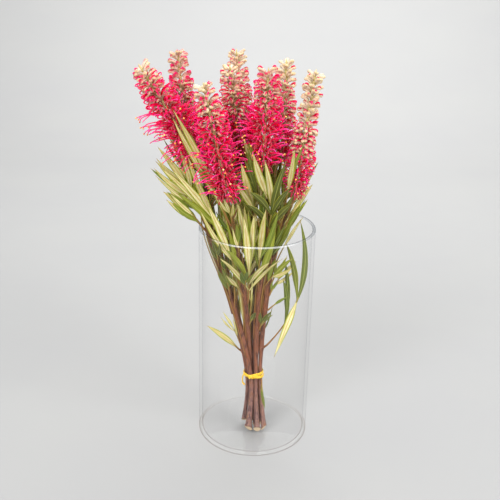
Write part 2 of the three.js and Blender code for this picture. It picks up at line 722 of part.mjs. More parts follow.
const spikes = Object.values(stems).map(spikePlan);
LEAVES.forEach((row, index) => {
  const plan = leafPlan(row, index);
  const name = `leaf_${String(index + 1).padStart(2, '0')}`;
  addMesh(bunch, name, leafGeometry(plan), COLOURS.leaf, plan.root);
});
for (const plan of spikes) {
  growFlorets(plan);
  const { name, spike } = plan.entry;
  addMesh(bunch, `bloom_${name}`, bloomGeometry(plan), COLOURS.crimson, spike.getPoint(0));
  addMesh(bunch, `bud_tip_${name}`, budGeometry(plan), COLOURS.bud, spike.getPoint(plan.split));
}
object.add(bunch);

export default object;
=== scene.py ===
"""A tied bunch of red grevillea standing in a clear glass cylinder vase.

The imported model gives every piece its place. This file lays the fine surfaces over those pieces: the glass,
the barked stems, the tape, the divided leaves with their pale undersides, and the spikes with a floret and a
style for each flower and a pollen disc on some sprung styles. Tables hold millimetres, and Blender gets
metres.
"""

from functools import cache
from math import cos, pi, radians, sin
from typing import NamedTuple

import bpy
import numpy as np
from mathutils import Matrix, Vector


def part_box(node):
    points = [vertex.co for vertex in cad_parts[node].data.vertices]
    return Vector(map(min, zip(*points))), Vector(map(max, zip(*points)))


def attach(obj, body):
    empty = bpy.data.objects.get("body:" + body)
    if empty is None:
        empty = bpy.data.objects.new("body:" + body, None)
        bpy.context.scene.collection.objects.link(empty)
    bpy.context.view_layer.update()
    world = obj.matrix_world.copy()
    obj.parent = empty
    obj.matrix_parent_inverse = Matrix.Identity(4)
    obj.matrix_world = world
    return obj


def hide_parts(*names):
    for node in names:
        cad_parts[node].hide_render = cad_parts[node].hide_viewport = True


bl_info = {
    "name": "Red grevillea in a glass vase",
    "version": (1, 0, 0),
    "blender": (4, 5, 0),
    "location": "3D View > Sidebar > Grevillea",
    "description": "Builds the vase, stems, tape, leaves and flower spikes over their packed solids",
    "category": "Object",
}

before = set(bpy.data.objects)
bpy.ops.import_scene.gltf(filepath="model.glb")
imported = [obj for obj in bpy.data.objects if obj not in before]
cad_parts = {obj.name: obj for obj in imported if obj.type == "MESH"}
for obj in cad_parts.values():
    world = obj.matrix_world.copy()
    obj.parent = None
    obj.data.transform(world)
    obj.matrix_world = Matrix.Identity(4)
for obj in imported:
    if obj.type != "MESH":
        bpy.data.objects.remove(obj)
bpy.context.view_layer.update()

MM = 0.001
BODY = "root"
VASE_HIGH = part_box("vase")[1]
VASE_RADIUS = VASE_HIGH.x / MM
VASE_HEIGHT = VASE_HIGH.z / MM
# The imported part's measures, in millimetres, degrees and shares of a length
GLASS_WALL = 4.1
GLASS_FLOOR = 4.0
SEAT_GAP = 0.3
FOOT_FLARE = 1.2
NECK_TAPER = 0.78
WAIST_HEIGHT = 84.0
NECK_SHARE = 0.8
STEM_STEPS = 12
TAPE_HEIGHT = 4.2
CORE_RADIUS = 9.0
TIP_RADIUS = 3.2
BUD_SPACING = 2.8
STALK_RADIUS = 1.2
GOLDEN_ANGLE = 137.508

# The camera stands where the photograph was taken from: its place, the way it looks, and its focal length
# in pixels of a picture 500 pixels wide
CAMERA_PLACE = (0.0, -993.0, 667.6)
CAMERA_YAW = 0.5
CAMERA_PITCH = 22.0
CAMERA_ROLL = 1.28
CAMERA_FOCAL = 825.6
PICTURE_WIDTH = 500
SENSOR_WIDTH = 36.0


class Stem(NamedTuple):
    """A stem and its flower spike: the foot on the glass, the tied waist, two points on the way up, the
    neck where the florets begin, the tip, the half thickness at the waist, the share of the spike still in
    bud, how far its buds have turned red, how far its open styles reach compared with the others', and the
    share of its open part that still looks young."""
    foot: tuple
    waist: tuple
    low: tuple
    high: tuple
    neck: tuple
    tip: tuple
    thick: float
    bare: float
    blush: float
    reach: float = 1.0
    late: float = 0.0


STEMS = {
    "a": Stem((-5.6, -25), (-4.2, -7.6), (-32, -8, 200), (-61, -14, 292), (-72, -18, 383), (-143, -25, 506),
              3.4, 0.17, 0.4, 1.12, 0.03),
    "b": Stem((-11.7, -0.8), (-9.4, -2.2), (-33, 3, 200), (-60, 18, 292), (-88, 25, 381), (-104, 40, 514),
              2.5, 0.3, 0.75, 1.0, 0.42),
    "c": Stem((-4.5, -12.5), (-3.4, -0.6), (-13, -16, 200), (-26, -32, 292), (-36, -42, 348),
              (-66, -50, 491), 2.4, 0.18, 0.3, 1.0, 0.04),
    "d": Stem((0, -3), (-0.4, 4.9), (-2, 14, 200), (-9, 30, 292), (-17, 42, 364), (-32, 62, 513),
              2.3, 0.34, 0.4, 1.0, 0.36),
    "e": Stem((4, -14.5), (2.6, -0.4), (-4, 0, 200), (-12, 0, 292), (-20, 0, 376), (-38, 2, 503),
              2.4, 0.24, 0.35, 1.0, 0.26),
    "f": Stem((6.9, -26.8), (3.2, -7.1), (4, -10, 200), (12.5, -14, 285), (5, -24, 382), (8.5, -28, 506),
              3.0, 0.16, 0.6, 1.0, 0.17),
    "g": Stem((12.5, -8.5), (8.2, 1.3), (14, 8, 200), (21, 18, 292), (28, 26, 381), (31, 42, 505),
              2.3, 0.42, 0.3, 0.8, 0.34),
    "h": Stem((16.6, -21.5), (9.1, -5.2), (14, -7, 200), (27, -10, 292), (44.6, -14, 350), (64.5, -15, 503),
              2.6, 0.45, 0.3, 0.5, 0.3),
}


class Leaf(NamedTuple):
    """A leaf: the stem that it grows from and the height there, the tip of its end lobe, its side lobes,
    how far they spread in degrees, its width, the compass angle that its green side looks to, and how deep
    its green is. closer and bow shift its foot and its middle, and lobes gives lobes whose tips are known.
    blade_from is where its end lobe starts, as a share of its length, and rolled the lobe that shows its
    other side."""
    stem: str
    start: float
    tip: tuple
    side: int
    spread: float
    width: float
    face: float
    deep: float = 0.2
    closer: float = 0.0
    bow: tuple = ()
    lobes: tuple = ()
    blade_from: float = 0.38
    rolled: int = -1


LEAVES = (
    Leaf("c", 272, (-104, -40, 384), 0, 0, 9, 95, lobes=(
        (0.41, (-117, -29, 381), 7), (0.33, (-83, -53, 397), 8), (0.24, (-100, -34, 353), 8))),
    Leaf("a", 306, (-113, -20, 393), 2, 14, 9.5, -80, 0.2),
    Leaf("a", 298, (-117, -25, 351), 3, 13, 8.5, 110),
    Leaf("c", 292, (-101, -52, 460), 2, 11, 9, 70),
    Leaf("c", 216, (-61, -50, 344), 2, 12, 10.5, 75),
    Leaf("a", 298, (-106, -46, 362), 2, 11, 7.5, -70, 0.1),
    Leaf("c", 313, (-70, -61, 391), 0, 0, 8.5, 75),
    Leaf("b", 302, (-131, 16, 378), 4, 17, 8.5, 80),
    Leaf("b", 326, (-120, 52, 405), 3, 18, 8.5, -30),
    Leaf("h", 306, (-7, -60, 412), 1, 14, 10.5, 85),
    Leaf("f", 286, (-21, -62, 401), 0, 0, 10, 75, lobes=(
        (0.36, (-26, -60, 374), 9),)),
    Leaf("f", 268, (32, -54, 402), 0, 0, 9, -85, 0.9, closer=0.8, lobes=(
        (0.42, (-11, -56, 364), 8.5), (0.4, (38, -54, 369), 8.5), (0.28, (-14, -57, 348), 9),
        (0.26, (41, -54, 349), 9))),
    Leaf("h", 318, (52, -46, 420), 0, 0, 6.5, -60, 0.3, lobes=(
        (0.3, (41, -52, 416), 8.5),)),
    Leaf("h", 299, (61, -18, 361), 2, 13, 6.5, 60),
    Leaf("h", 262, (44, -26, 316), 1, 18, 7.5, -100, 0.5),
    Leaf("h", 126, (54, -6, 312), 0, 0, 8, -95, 0.6, bow=(51, 0, -10), lobes=(
        (0.42, (37, -8, 281), 8), (0.22, (37, -2, 254), 7), (0.24, (35, -14, 232), 7),
        (0.4, (27, -13, 116), 9)), rolled=4),
    Leaf("c", 196, (-4, -52, 334), 0, 0, 9.5, 90, lobes=(
        (0.32, (-17, -53, 331), 10), (0.24, (-38, -53, 288), 8), (0.16, (-46, -49, 274), 8),
        (0.22, (17, -51, 271), 8), (0.14, (33, -47, 275), 5.5))),
    Leaf("f", 214, (5, -44, 343), 3, 12, 9, 85),
    Leaf("e", 226, (-25, -46, 347), 3, 11, 9, 100),
    Leaf("f", 312, (-14, -46, 417), 0, 0, 8, -80, 0.7, closer=0.5, lobes=(
        (0.36, (-21, -50, 384), 7), (0.3, (-17, -44, 400), 6.5))),
    Leaf("b", 120, (-64, -10, 160), 0, 0, 8, 110, blade_from=0.1),
    Leaf("a", 134, (-43, -9, 181), 2, 24, 4, 70),
    Leaf("f", 160, (24, -16, 182), 0, 0, 5, -60, 0.6, blade_from=0.15),
    Leaf("h", 79, (17, -23, 41), 0, 0, 5, -50, 0.7, blade_from=0.15),
    Leaf("d", 300, (-12, 82, 398), 4, 20, 9, -90, 0.8),
    Leaf("g", 288, (64, 52, 382), 4, 20, 9, -120, 0.7),
    Leaf("d", 244, (-40, 56, 350), 4, 20, 9, -70, 0.8),
    Leaf("g", 236, (40, 42, 336), 4, 22, 8.5, -120, 0.8),
    Leaf("b", 250, (-72, 44, 352), 3, 20, 8.5, -40, 0.6),
    Leaf("d", 196, (6, 48, 300), 4, 26, 8.5, -90, 0.9),
    Leaf("a", 319, (-116, -27, 412), 4, 14, 8.5, 80),
    Leaf("e", 262, (-44, -30, 352), 2, 14, 8.5, 90),
)


# Directions and curves, with any number of points at once along the first axes of their arrays

EAST = np.array([1.0, 0.0, 0.0])


def unit(vectors):
    return vectors / np.linalg.norm(vectors, axis=-1, keepdims=True)


def square_to(wish, axis):
    """The direction nearest to wish that is square to axis."""
    return unit(wish - np.sum(wish * axis, axis=-1, keepdims=True) * axis)


def turned(vector, axis, angle):
    """The vector turned about a unit axis by an angle in degrees."""
    angle = np.radians(angle)
    along = np.sum(vector * axis, axis=-1, keepdims=True) * axis
    return along + (vector - along) * np.cos(angle) + np.cross(axis, vector) * np.sin(angle)


class Spline:
    """A smooth curve through its points."""

    def __init__(self, *points):
        inner = np.array(points, float)
        self.points = np.vstack([2 * inner[0] - inner[1], inner, 2 * inner[-1] - inner[-2]])

    def at(self, share):
        last = len(self.points) - 3
        place = np.asarray(share, float) * last
        index = np.clip(np.floor(place).astype(int), 0, last - 1)
        t = (place - index)[..., None]
        before, start, end, after = (self.points[index + k] for k in range(4))
        leave, arrive = (end - before) / 2, (after - start) / 2
        return (start + leave * t + (3 * (end - start) - 2 * leave - arrive) * t ** 2
                + (2 * (start - end) + leave + arrive) * t ** 3)


class Arc:
    """A plain bend from start to end, pulled towards a middle point."""

    def __init__(self, start, middle, end):
        self.start, self.middle, self.end = start, middle, end

    def at(self, share):
        t = np.asarray(share, float)[..., None]
        return (1 - t) ** 2 * self.start + 2 * t * (1 - t) * self.middle + t ** 2 * self.end


class Stretch:
    """A stretch of a longer curve."""

    def __init__(self, whole, low, high):
        self.whole, self.low, self.high = whole, low, high

    def at(self, share):
        return self.whole.at(self.low + (self.high - self.low) * np.asarray(share, float))


def heading(curve, share):
    step = 0.0001
    share = np.asarray(share, float)
    return unit(curve.at(np.clip(share + step, 0, 1)) - curve.at(np.clip(share - step, 0, 1)))


def length_of(curve):
    points = curve.at(np.linspace(0, 1, 201))
    return float(np.linalg.norm(np.diff(points, axis=0), axis=1).sum())


class Draw:
    """A seeded draw of even numbers between two ends."""

    def __init__(self, seed):
        self.state = seed

    def __call__(self, low, high):
        self.state = (self.state * 1664525 + 1013904223) % 2 ** 32
        return low + (high - low) * self.state / 2 ** 32


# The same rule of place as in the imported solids: whatever stands is kept as small balls, and the next lobe
# is turned until it clears them

BALL_RADIUS = 1.5
BALL_STEP = 4.0
CLEARANCE = 0.25
STALK_END = 0.44
LOBE_START = 0.38
# The stalk beside its own stem, and the lobe's balls inside its own leaf, are left out of the trial
OWN_STEM = 8.0
OWN_BALLS = 6
# Owners of balls: stems count from 0, spikes and leaves from these
SPIKE_OWNER = 100
LEAF_OWNER = 200
# Where the seeded draws of leaves, spikes and lesser leaves begin
LEAF_DRAW = 100
SPIKE_DRAW = 500
SMALL_DRAW = 7000
# A bud's ball: its distance from the spike's axis, its radius, and the first and last place along the spike
BUD_PLACE = 9.5
BUD_BALL = 5.5
FIRST_BUD = 0.03
LAST_BUD = 0.985
# Side lobes leave their leaf beyond this share of its length
FIRST_LOBE = 0.14
SWINGS = ((0, 0), (4, 0), (-4, 0), (0, 4), (0, -4), (8, 0), (0, 8), (0, -8), (8, 8), (8, -8), (12, 0))
TURNS = (
    (0, 0), (0, 7), (0, -7), (10, 0), (-10, 0), (10, 7), (-10, -7), (18, 0), (-18, 0), (0, 14), (0, -14),
    (18, 10), (-18, -10), (28, 0), (-28, 0), (28, 12), (-28, -12), (40, 0), (-40, 0), (40, 14), (-40, 14),
)
LOBE_SIZES = (1, 0.75, 0.55)


class Crowd:
    """Balls along every piece placed so far, each with its owner."""

    def __init__(self):
        self.at = np.empty((0, 3))
        self.radius = np.empty(0)
        self.owner = np.empty(0, int)

    def keep(self, at, radius, owner):
        self.at = np.vstack([self.at, at])
        self.radius = np.append(self.radius, np.broadcast_to(radius, len(at)))
        self.owner = np.append(self.owner, np.full(len(at), owner))

    def is_clear(self, at, radius, owner):
        radius = np.broadcast_to(radius, len(at))
        reach = np.hypot(at[:, 0], at[:, 1])
        inner = VASE_RADIUS - GLASS_WALL
        margin = radius + SEAT_GAP
        in_wall = ((reach > inner - margin) & (reach < VASE_RADIUS + margin)
                   & (at[:, 2] < VASE_HEIGHT + margin))
        in_floor = (reach < inner) & (at[:, 2] < GLASS_FLOOR + margin)
        if (in_wall | in_floor).any():
            return False
        reach = radius.max() + self.radius.max() + CLEARANCE
        near = ((self.at > at.min(axis=0) - reach) & (self.at < at.max(axis=0) + reach)).all(axis=1)
        others = near & (self.owner != owner)
        apart = np.linalg.norm(at[:, None] - self.at[others], axis=2)
        return bool((apart > radius[:, None] + self.radius[others] + CLEARANCE).all())


def balls_along(curve, radius, low, high):
    count = max(2, int(np.ceil(length_of(curve) * (high - low) / BALL_STEP)))
    shares = low + (high - low) * np.arange(count + 1) / count
    return curve.at(shares), radius(shares)


def lobe_reach(share):
    return np.minimum(1, np.minimum(0.32 + 2.4 * share, 0.12 + 1.75 * (1 - share)))


def balls_on_blade(curve, face, width):
    count = max(3, int(np.ceil(length_of(curve) / BALL_STEP)))
    shares = np.arange(count + 1) / count
    way = heading(curve, shares)
    across = np.cross(square_to(face, way), way)
    half = (width * lobe_reach(shares) / 3)[:, None]
    sides = np.stack([curve.at(shares) + side * half * across for side in (-1, 0, 1)], axis=1)
    return sides.reshape(-1, 3)


class Grown:
    """A stem as it stands: its whole axis, the barked part and the spike."""

    def __init__(self, name, row, number):
        lean = np.hypot(row.waist[0] - row.foot[0], row.waist[1] - row.foot[1]) / WAIST_HEIGHT
        foot_height = GLASS_FLOOR + SEAT_GAP + row.thick * FOOT_FLARE * lean
        self.name, self.row, self.number = name, row, number
        axis = Spline((*row.foot, foot_height), (*row.waist, WAIST_HEIGHT),
                      row.low, row.high, row.neck, row.tip)
        self.bark = Stretch(axis, 0, NECK_SHARE)
        self.spike = Stretch(axis, NECK_SHARE, 1)
        self.split = 1 - row.bare
        self.rings = self.bark.at(np.linspace(0, 1, STEM_STEPS + 1))
        self.scars = []

    def radius(self, share):
        flare = 1 + (FOOT_FLARE - 1) * np.maximum(0, 1 - np.asarray(share) / 0.1)
        return self.row.thick * flare * (1 + (NECK_TAPER - 1) * np.asarray(share))

    def point(self, share):
        """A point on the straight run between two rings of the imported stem."""
        ring = min(int(share * STEM_STEPS), STEM_STEPS - 1)
        start, end = self.rings[ring], self.rings[ring + 1]
        return start + (end - start) * (share * STEM_STEPS - ring)

    def share_at(self, height):
        return float(np.interp(height, self.rings[:, 2], np.linspace(0, 1, STEM_STEPS + 1)))


def core_radius(share):
    share = np.asarray(share, float)
    return (CORE_RADIUS + (TIP_RADIUS - CORE_RADIUS) * share * share) * np.minimum(1, 0.5 + 4 * share)


def around_spike(spike, share, turn):
    way = heading(spike, share)
    return turned(square_to(EAST, way), way, np.asarray(turn)[..., None])


def keep_spike(crowd, grown):
    draw = Draw(SPIKE_DRAW + grown.number)
    owner = SPIKE_OWNER + grown.number
    spike, split = grown.spike, grown.split
    crowd.keep(*balls_along(spike, core_radius, 0, 1), owner)
    count = round(length_of(spike) * grown.row.bare / BUD_SPACING)
    for k in range(count):
        share = split + FIRST_BUD + (LAST_BUD - split - FIRST_BUD) * (k + 0.5) / count
        outward = around_spike(spike, share, k * GOLDEN_ANGLE + draw(-12, 12))
        size = 1 - 0.35 * (k / count)
        crowd.keep((spike.at(share) + BUD_PLACE * size * outward)[None], BUD_BALL * size, owner)


class Lobe(NamedTuple):
    curve: object
    face: np.ndarray
    width: float


class LeafPlan(NamedTuple):
    row: Leaf
    curve: object
    face: np.ndarray
    away: np.ndarray
    lobes: list


def leaf_axis(row, root, swing):
    chord = np.array(row.tip, float) - root
    middle = (root + row.tip) / 2
    outward = np.array([middle[0] + (middle[2] - WAIST_HEIGHT) * 0.07, middle[1] + 2, 0])
    outward = square_to(unit(outward), unit(chord))
    across = unit(np.cross(outward, chord))
    chord = turned(turned(chord, across, swing[0]), outward, swing[1])
    length = float(np.linalg.norm(chord))
    bow = np.array(row.bow, float) if row.bow else -0.07 * length * outward
    look = np.array([cos(radians(row.face)), sin(radians(row.face)), 0])
    return Arc(root, root + chord / 2 + bow, root + chord), square_to(look, unit(chord)), length


def side_lobe(curve, face, share, side, spread, reach, width, turn):
    start, way = curve.at(share), heading(curve, share)
    flat = square_to(face, way)
    across = np.cross(flat, way) * side

    def opened(angle):
        return turned(way * cos(angle) + across * sin(angle), way, turn[0])

    angle = radians(spread + turn[1])
    arc = Arc(start, start + opened(angle * 1.7) * reach * 0.4, start + opened(angle) * reach)
    return Lobe(arc, turned(flat, way, turn[0] * 0.6), width)


def aimed_lobe(curve, face, lobe, turn, size):
    share, tip, width = lobe
    start, way = curve.at(share), heading(curve, share)
    chord = turned((np.array(tip, float) - start) * size, way, turn[0] * 0.5)
    middle = start + 0.45 * chord + 0.16 * np.linalg.norm(chord) * way
    return Lobe(Arc(start, middle, start + chord), face, width)


def plan_leaf(crowd, grown, row, index):
    """The leaf's lobes where they clear all that stands, or nothing if its end lobe finds no place."""
    draw = Draw(LEAF_DRAW + index)
    stem = grown[row.stem]
    foot = stem.share_at(row.start)
    centre = stem.point(foot)
    away = square_to(np.array(row.tip, float) - centre, heading(stem.bark, foot))
    root = centre + (stem.radius(foot) + SEAT_GAP + STALK_RADIUS - row.closer) * away
    owner = LEAF_OWNER + index
    for swing in SWINGS:
        curve, face, length = leaf_axis(row, root, swing)
        end = Stretch(curve, LOBE_START, 1)
        stalk = balls_along(curve, lambda s: np.full(len(s), STALK_RADIUS),
                            min(0.3, OWN_STEM / length), STALK_END)
        blade = balls_on_blade(end, face, row.width)
        at = np.vstack([stalk[0], blade])
        radius = np.append(stalk[1], np.full(len(blade), BALL_RADIUS))
        if crowd.is_clear(at, radius, owner):
            break
    else:
        return None
    crowd.keep(at, radius, owner)
    lobes = [Lobe(end, face, row.width)]
    for k, want in enumerate(row.lobes or range(row.side)):
        stretch, opening, slim = draw(0.88, 1.08), draw(-3, 3), draw(0.82, 1)
        share = FIRST_LOBE + 0.3 * (k + 0.5) / max(row.side, 1)
        reach = length * (0.66 - 0.35 * (share - FIRST_LOBE)) * stretch
        for size, turn in ((size, turn) for size in LOBE_SIZES for turn in TURNS):
            if row.lobes:
                trial = aimed_lobe(curve, face, want, turn, size)
            else:
                side = 1 if k % 2 == 0 else -1
                trial = side_lobe(curve, face, share, side, row.spread + opening, reach * size,
                                  row.width * slim, turn)
            blade = balls_on_blade(trial.curve, trial.face, trial.width)[OWN_BALLS:]
            if crowd.is_clear(blade, BALL_RADIUS, owner):
                crowd.keep(blade, BALL_RADIUS, owner)
                lobes.append(trial)
                break
    stem.scars.append((foot, away))
    return LeafPlan(row, curve, face, away, lobes)


# The lesser leaves that fill the mouth of the vase and the low shoots inside it: how many are tried on each
# stem, where they leave it, how far up they reach, how much they lean out, and their width, in millimetres
MOUTH_LEAVES = (25, (206, 372), (40, 88), (8, 46), (4.6, 7.8))
LOW_SHOOTS = (15, (98, 225), (60, 130), (0, 8), (2.6, 4.6))
# Their numbers start here, with room for every one that is tried
SMALL_INDEX = 70
GROUP_ROOM = 25
STEM_ROOM = 50

# Lesser leaves with a known place: some fill the gaps behind the spikes and between the stems, some cross
# at the mouth, and the last three are the thin golden shoots beside the longest leaf inside the vase
PLACED_INDEX = 33
PLACED_LEAVES = (
    Leaf("b", 262, (-46, 6, 354), 2, 12, 8, 90, 0.6),
    Leaf("c", 288, (-34, -16, 360), 1, 14, 7.5, 85, 0.7),
    Leaf("e", 300, (-30, -4, 372), 2, 14, 8, 95, 0.8),
    Leaf("a", 252, (-44, -4, 346), 1, 14, 8, 90, 0.8),
    Leaf("b", 290, (-52, 4, 372), 2, 14, 8, 90, 0.8),
    Leaf("c", 262, (-46, -22, 344), 1, 14, 8, 90, 0.7),
    Leaf("d", 252, (-38, 8, 348), 1, 14, 8, 90, 0.8),
    Leaf("f", 300, (28, -6, 384), 1, 12, 8, -90, 0.8),
    Leaf("g", 300, (20, 18, 388), 2, 14, 8, -90, 0.8),
    Leaf("h", 300, (36, -2, 376), 1, 12, 7, -90, 0.7),
    Leaf("h", 300, (40, -26, 352), 1, 16, 6.5, -80, 0.9),
    Leaf("c", 236, (-62, -48, 330), 2, 15, 6, 85, 0.15),
    Leaf("e", 240, (-8, -44, 318), 3, 18, 6, 95, 0.3),
    Leaf("c", 250, (4, -50, 322), 2, 18, 6, 95, 0.2),
    Leaf("f", 236, (36, -38, 318), 2, 16, 6, -85, 0.75),
    Leaf("a", 262, (-92, -34, 330), 2, 16, 6, 80, 0.2),
    Leaf("a", 150, (-23, -12, 218), 1, 10, 5, 90, 0.9, blade_from=0.15),
    Leaf("c", 150, (-15, -4, 216), 1, 10, 5, 90, 0.9, blade_from=0.15),
    Leaf("b", 160, (-24, 4, 236), 1, 10, 5, 90, 0.9, blade_from=0.15),
    Leaf("e", 130, (-4, -6, 196), 1, 10, 4.5, -90, 0.9, blade_from=0.15),
    Leaf("c", 164, (1, -35, 194), 0, 0, 6, -85, 0.9, blade_from=0.15),
    Leaf("f", 156, (21, -31, 194), 1, 24, 6, -80, 0.9, blade_from=0.15),
    Leaf("h", 184, (43, -14, 208), 0, 0, 4, -100, 0.2, blade_from=0.3),
    Leaf("h", 206, (31, -16, 232), 1, 20, 3.6, -80, 0.3, blade_from=0.2),
    Leaf("h", 222, (38, -18, 262), 1, 16, 4, -100, 0.3, blade_from=0.2),
)


def small_leaves(crowd, grown, name):
    """The lesser leaves of a stem: those with a place, and others drawn at random of which those stay that
    clear all the others."""
    stem = grown[name]
    draw = Draw(SMALL_DRAW + 13 * stem.number)
    placed = [plan_leaf(crowd, grown, row, PLACED_INDEX + k) for k, row in enumerate(PLACED_LEAVES)
              if row.stem == name]
    plans = [plan for plan in placed if plan]
    for group, (count, starts, reaches, leans, widths) in enumerate((MOUTH_LEAVES, LOW_SHOOTS)):
        for k in range(count):
            start = draw(*starts)
            foot = stem.share_at(start)
            centre = stem.point(foot)
            way = heading(stem.bark, foot)
            turn = draw(-pi, pi)
            out = np.array([cos(turn), sin(turn), 0])
            tip = centre + draw(*reaches) * way + draw(*leans) * out
            face = draw(60, 120) if draw(0, 1) < 0.5 else draw(-120, -60)
            row = Leaf(name, start, tuple(tip), int(draw(0, 3.4)), draw(12, 20), draw(*widths), face,
                       draw(0.1, 0.95), closer=0.6)
            index = SMALL_INDEX + STEM_ROOM * stem.number + GROUP_ROOM * group + k
            plan = plan_leaf(crowd, grown, row, index)
            if plan:
                plans.append(plan)
    return plans


class Bunch(NamedTuple):
    stems: dict
    plans: list
    crowd: Crowd
    small: dict


@cache
def bunch():
    """The stems, the plans of the leaves, the crowd and each stem's lesser leaves, worked out once for all
    the operators."""
    crowd = Crowd()
    grown = {name: Grown(name, row, k) for k, (name, row) in enumerate(STEMS.items())}
    for stem in grown.values():
        crowd.keep(*balls_along(stem.bark, stem.radius, 0, 1), stem.number)
    for stem in grown.values():
        keep_spike(crowd, stem)
    plans = [plan_leaf(crowd, grown, row, index) for index, row in enumerate(LEAVES)]
    if None in plans:
        raise RuntimeError("a leaf of the table does not clear its neighbours")
    small = {name: small_leaves(crowd, grown, name) for name in grown}
    return Bunch(grown, plans, crowd, small)


# Surfaces

class Surface:
    """Gathers swept pieces into one mesh, with the named values that its materials read."""

    VALUES = ("along", "across", "under", "age", "blush", "tone", "fibre_x", "fibre_y")

    def __init__(self):
        self.points, self.faces, self.finish, self.smooth = [], [], [], []
        self.values = {name: [] for name in self.VALUES}
        self.count = 0

    def sweep(self, path, first, section, finish=0, cap=None, **values):
        """Sweeps a closed section along paths. path and first are (piece, step, xyz), and section is
        (piece, step, point, 2): how far each point lies along first and square to it. finish numbers the
        material and cap that of the first end. Returns the points."""
        way = unit(np.gradient(path, axis=1))
        first = square_to(first, way)
        second = np.cross(way, first)
        pieces, steps = path.shape[:2]
        section = np.broadcast_to(section, (pieces, steps, *section.shape[-2:]))
        around = section.shape[2]
        rings = (path[:, :, None] + section[..., :1] * first[:, :, None]
                 + section[..., 1:] * second[:, :, None])
        ends = rings[:, [0, -1]].mean(axis=2)
        points = np.concatenate([rings.reshape(pieces, -1, 3), ends], axis=1)
        ring = np.arange(around)
        step = np.arange(steps - 1)[:, None]
        near, far = step * around + ring, step * around + np.roll(ring, -1)
        quads = np.stack([near, far, far + around, near + around], axis=-1).reshape(-1, 4)
        start, end = steps * around, steps * around + 1
        last = (steps - 1) * around
        caps = np.vstack([
            np.stack([np.roll(ring, -1), ring, np.full(around, start)], axis=-1),
            np.stack([last + ring, last + np.roll(ring, -1), np.full(around, end)], axis=-1),
        ])
        offset = (self.count + np.arange(pieces) * (steps * around + 2))[:, None, None]
        self.faces += [(quads + offset).reshape(-1, 4), (caps + offset).reshape(-1, 3)]
        self.finish += [np.full(pieces * len(quads), finish)]
        self.finish += [np.tile(np.repeat([finish if cap is None else cap, finish], around), pieces)]
        self.smooth += [np.ones(pieces * len(quads), bool)]
        self.smooth += [np.tile(np.repeat([cap is None, True], around), pieces)]
        self.points.append(points.reshape(-1, 3))
        self.count += pieces * (steps * around + 2)
        values.setdefault("along", np.linspace(0, 1, steps)[None, :, None])
        for name in self.VALUES:
            whole = np.broadcast_to(values.get(name, 0.0), (pieces, steps, around))
            tips = whole[:, [0, -1]].mean(axis=2)
            self.values[name].append(np.concatenate([whole.reshape(pieces, -1), tips], axis=1).ravel())
        return points

    def wire(self, path, first, radius, sides, flat=1.0, **settings):
        """Sweeps a round section, pressed flat square to first, along one path."""
        self.sweep(path[None], first, round_section(radius[None], sides, flat), **settings)

    def build(self, name, node, materials):
        """The object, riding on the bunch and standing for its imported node."""
        mesh = bpy.data.meshes.new(name)
        points = np.vstack(self.points) * MM
        mesh.vertices.add(len(points))
        mesh.vertices.foreach_set("co", points.ravel())
        corners = np.concatenate([faces.ravel() for faces in self.faces])
        sizes = np.concatenate([np.full(len(faces), faces.shape[1]) for faces in self.faces])
        mesh.loops.add(len(corners))
        mesh.loops.foreach_set("vertex_index", corners)
        mesh.polygons.add(len(sizes))
        mesh.polygons.foreach_set("loop_start", np.append(0, np.cumsum(sizes)[:-1]))
        mesh.polygons.foreach_set("material_index", np.concatenate(self.finish))
        mesh.polygons.foreach_set("use_smooth", np.concatenate(self.smooth))
        mesh.update(calc_edges=True)
        for key, parts in self.values.items():
            if any(part.any() for part in parts):
                attribute = mesh.attributes.new(key, "FLOAT", "POINT")
                attribute.data.foreach_set("value", np.concatenate(parts))
        for material in materials:
            mesh.materials.append(material)
        piece = bpy.data.objects.new(name, mesh)
        bpy.context.scene.collection.objects.link(piece)
        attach(piece, BODY)
        if node:
            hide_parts(node)
        return piece


def turns_round(sides):
    return np.arange(sides) * 2 * pi / sides


def circle(sides):
    turn = turns_round(sides)
    return np.stack([np.cos(turn), np.sin(turn)], axis=-1)


def round_section(radius, sides, flat=1.0):
    """Circles of the given radii, (piece, step), pressed flat square to the sweep's first direction."""
    return np.asarray(radius)[..., None, None] * circle(sides) * [1.0, flat]


def eased(share):
    share = np.clip(share, 0, 1)
    return share * share * (3 - 2 * share)


def profile(share, knots):
    """A value that runs straight from one (share, value) knot to the next."""
    return np.interp(share, *zip(*knots))


# Materials

def linear(code):
    """A colour written as sRGB hex, as Blender's linear numbers."""
    parts = [(code >> shift & 255) / 255 for shift in (16, 8, 0)]
    return [p / 12.92 if p <= 0.04045 else ((p + 0.055) / 1.055) ** 2.4 for p in parts] + [1.0]


# A mix of colours: its settings, and the places of its two colours and its result, because the node repeats
# their names for other kinds of value
BLEND = {"data_type": "RGBA"}
SHADE = {"data_type": "RGBA", "blend_type": "MULTIPLY"}
MIX_A, MIX_B, MIX_RESULT = 6, 7, 2


def add_node(tree, kind, inputs=None, stops=None, **settings):
    """Adds a node with its settings, its ramp stops, and for each input a value, or a link to a socket or
    to the result of another node."""
    made = tree.nodes.new("ShaderNode" + kind)
    for key, value in settings.items():
        setattr(made, key, value)
    if stops:
        ramp = made.color_ramp.elements
        while len(ramp) < len(stops):
            ramp.new(1.0)
        for element, (place, code) in zip(ramp, stops):
            element.position = place
            element.color = linear(code)
    for key, value in (inputs or {}).items():
        if isinstance(value, bpy.types.Node):
            value = value.outputs[MIX_RESULT if value.type == "MIX" else 0]
        if isinstance(value, bpy.types.NodeSocket):
            tree.links.new(value, made.inputs[key])
        else:
            made.inputs[key].default_value = value
    return made


def new_material(name):
    material = bpy.data.materials.new(name)
    material.use_nodes = True
    tree = material.node_tree
    tree.nodes.clear()
    return material, tree


def finish_material(material, tree, shader):
    add_node(tree, "OutputMaterial", {"Surface": shader})
    return material


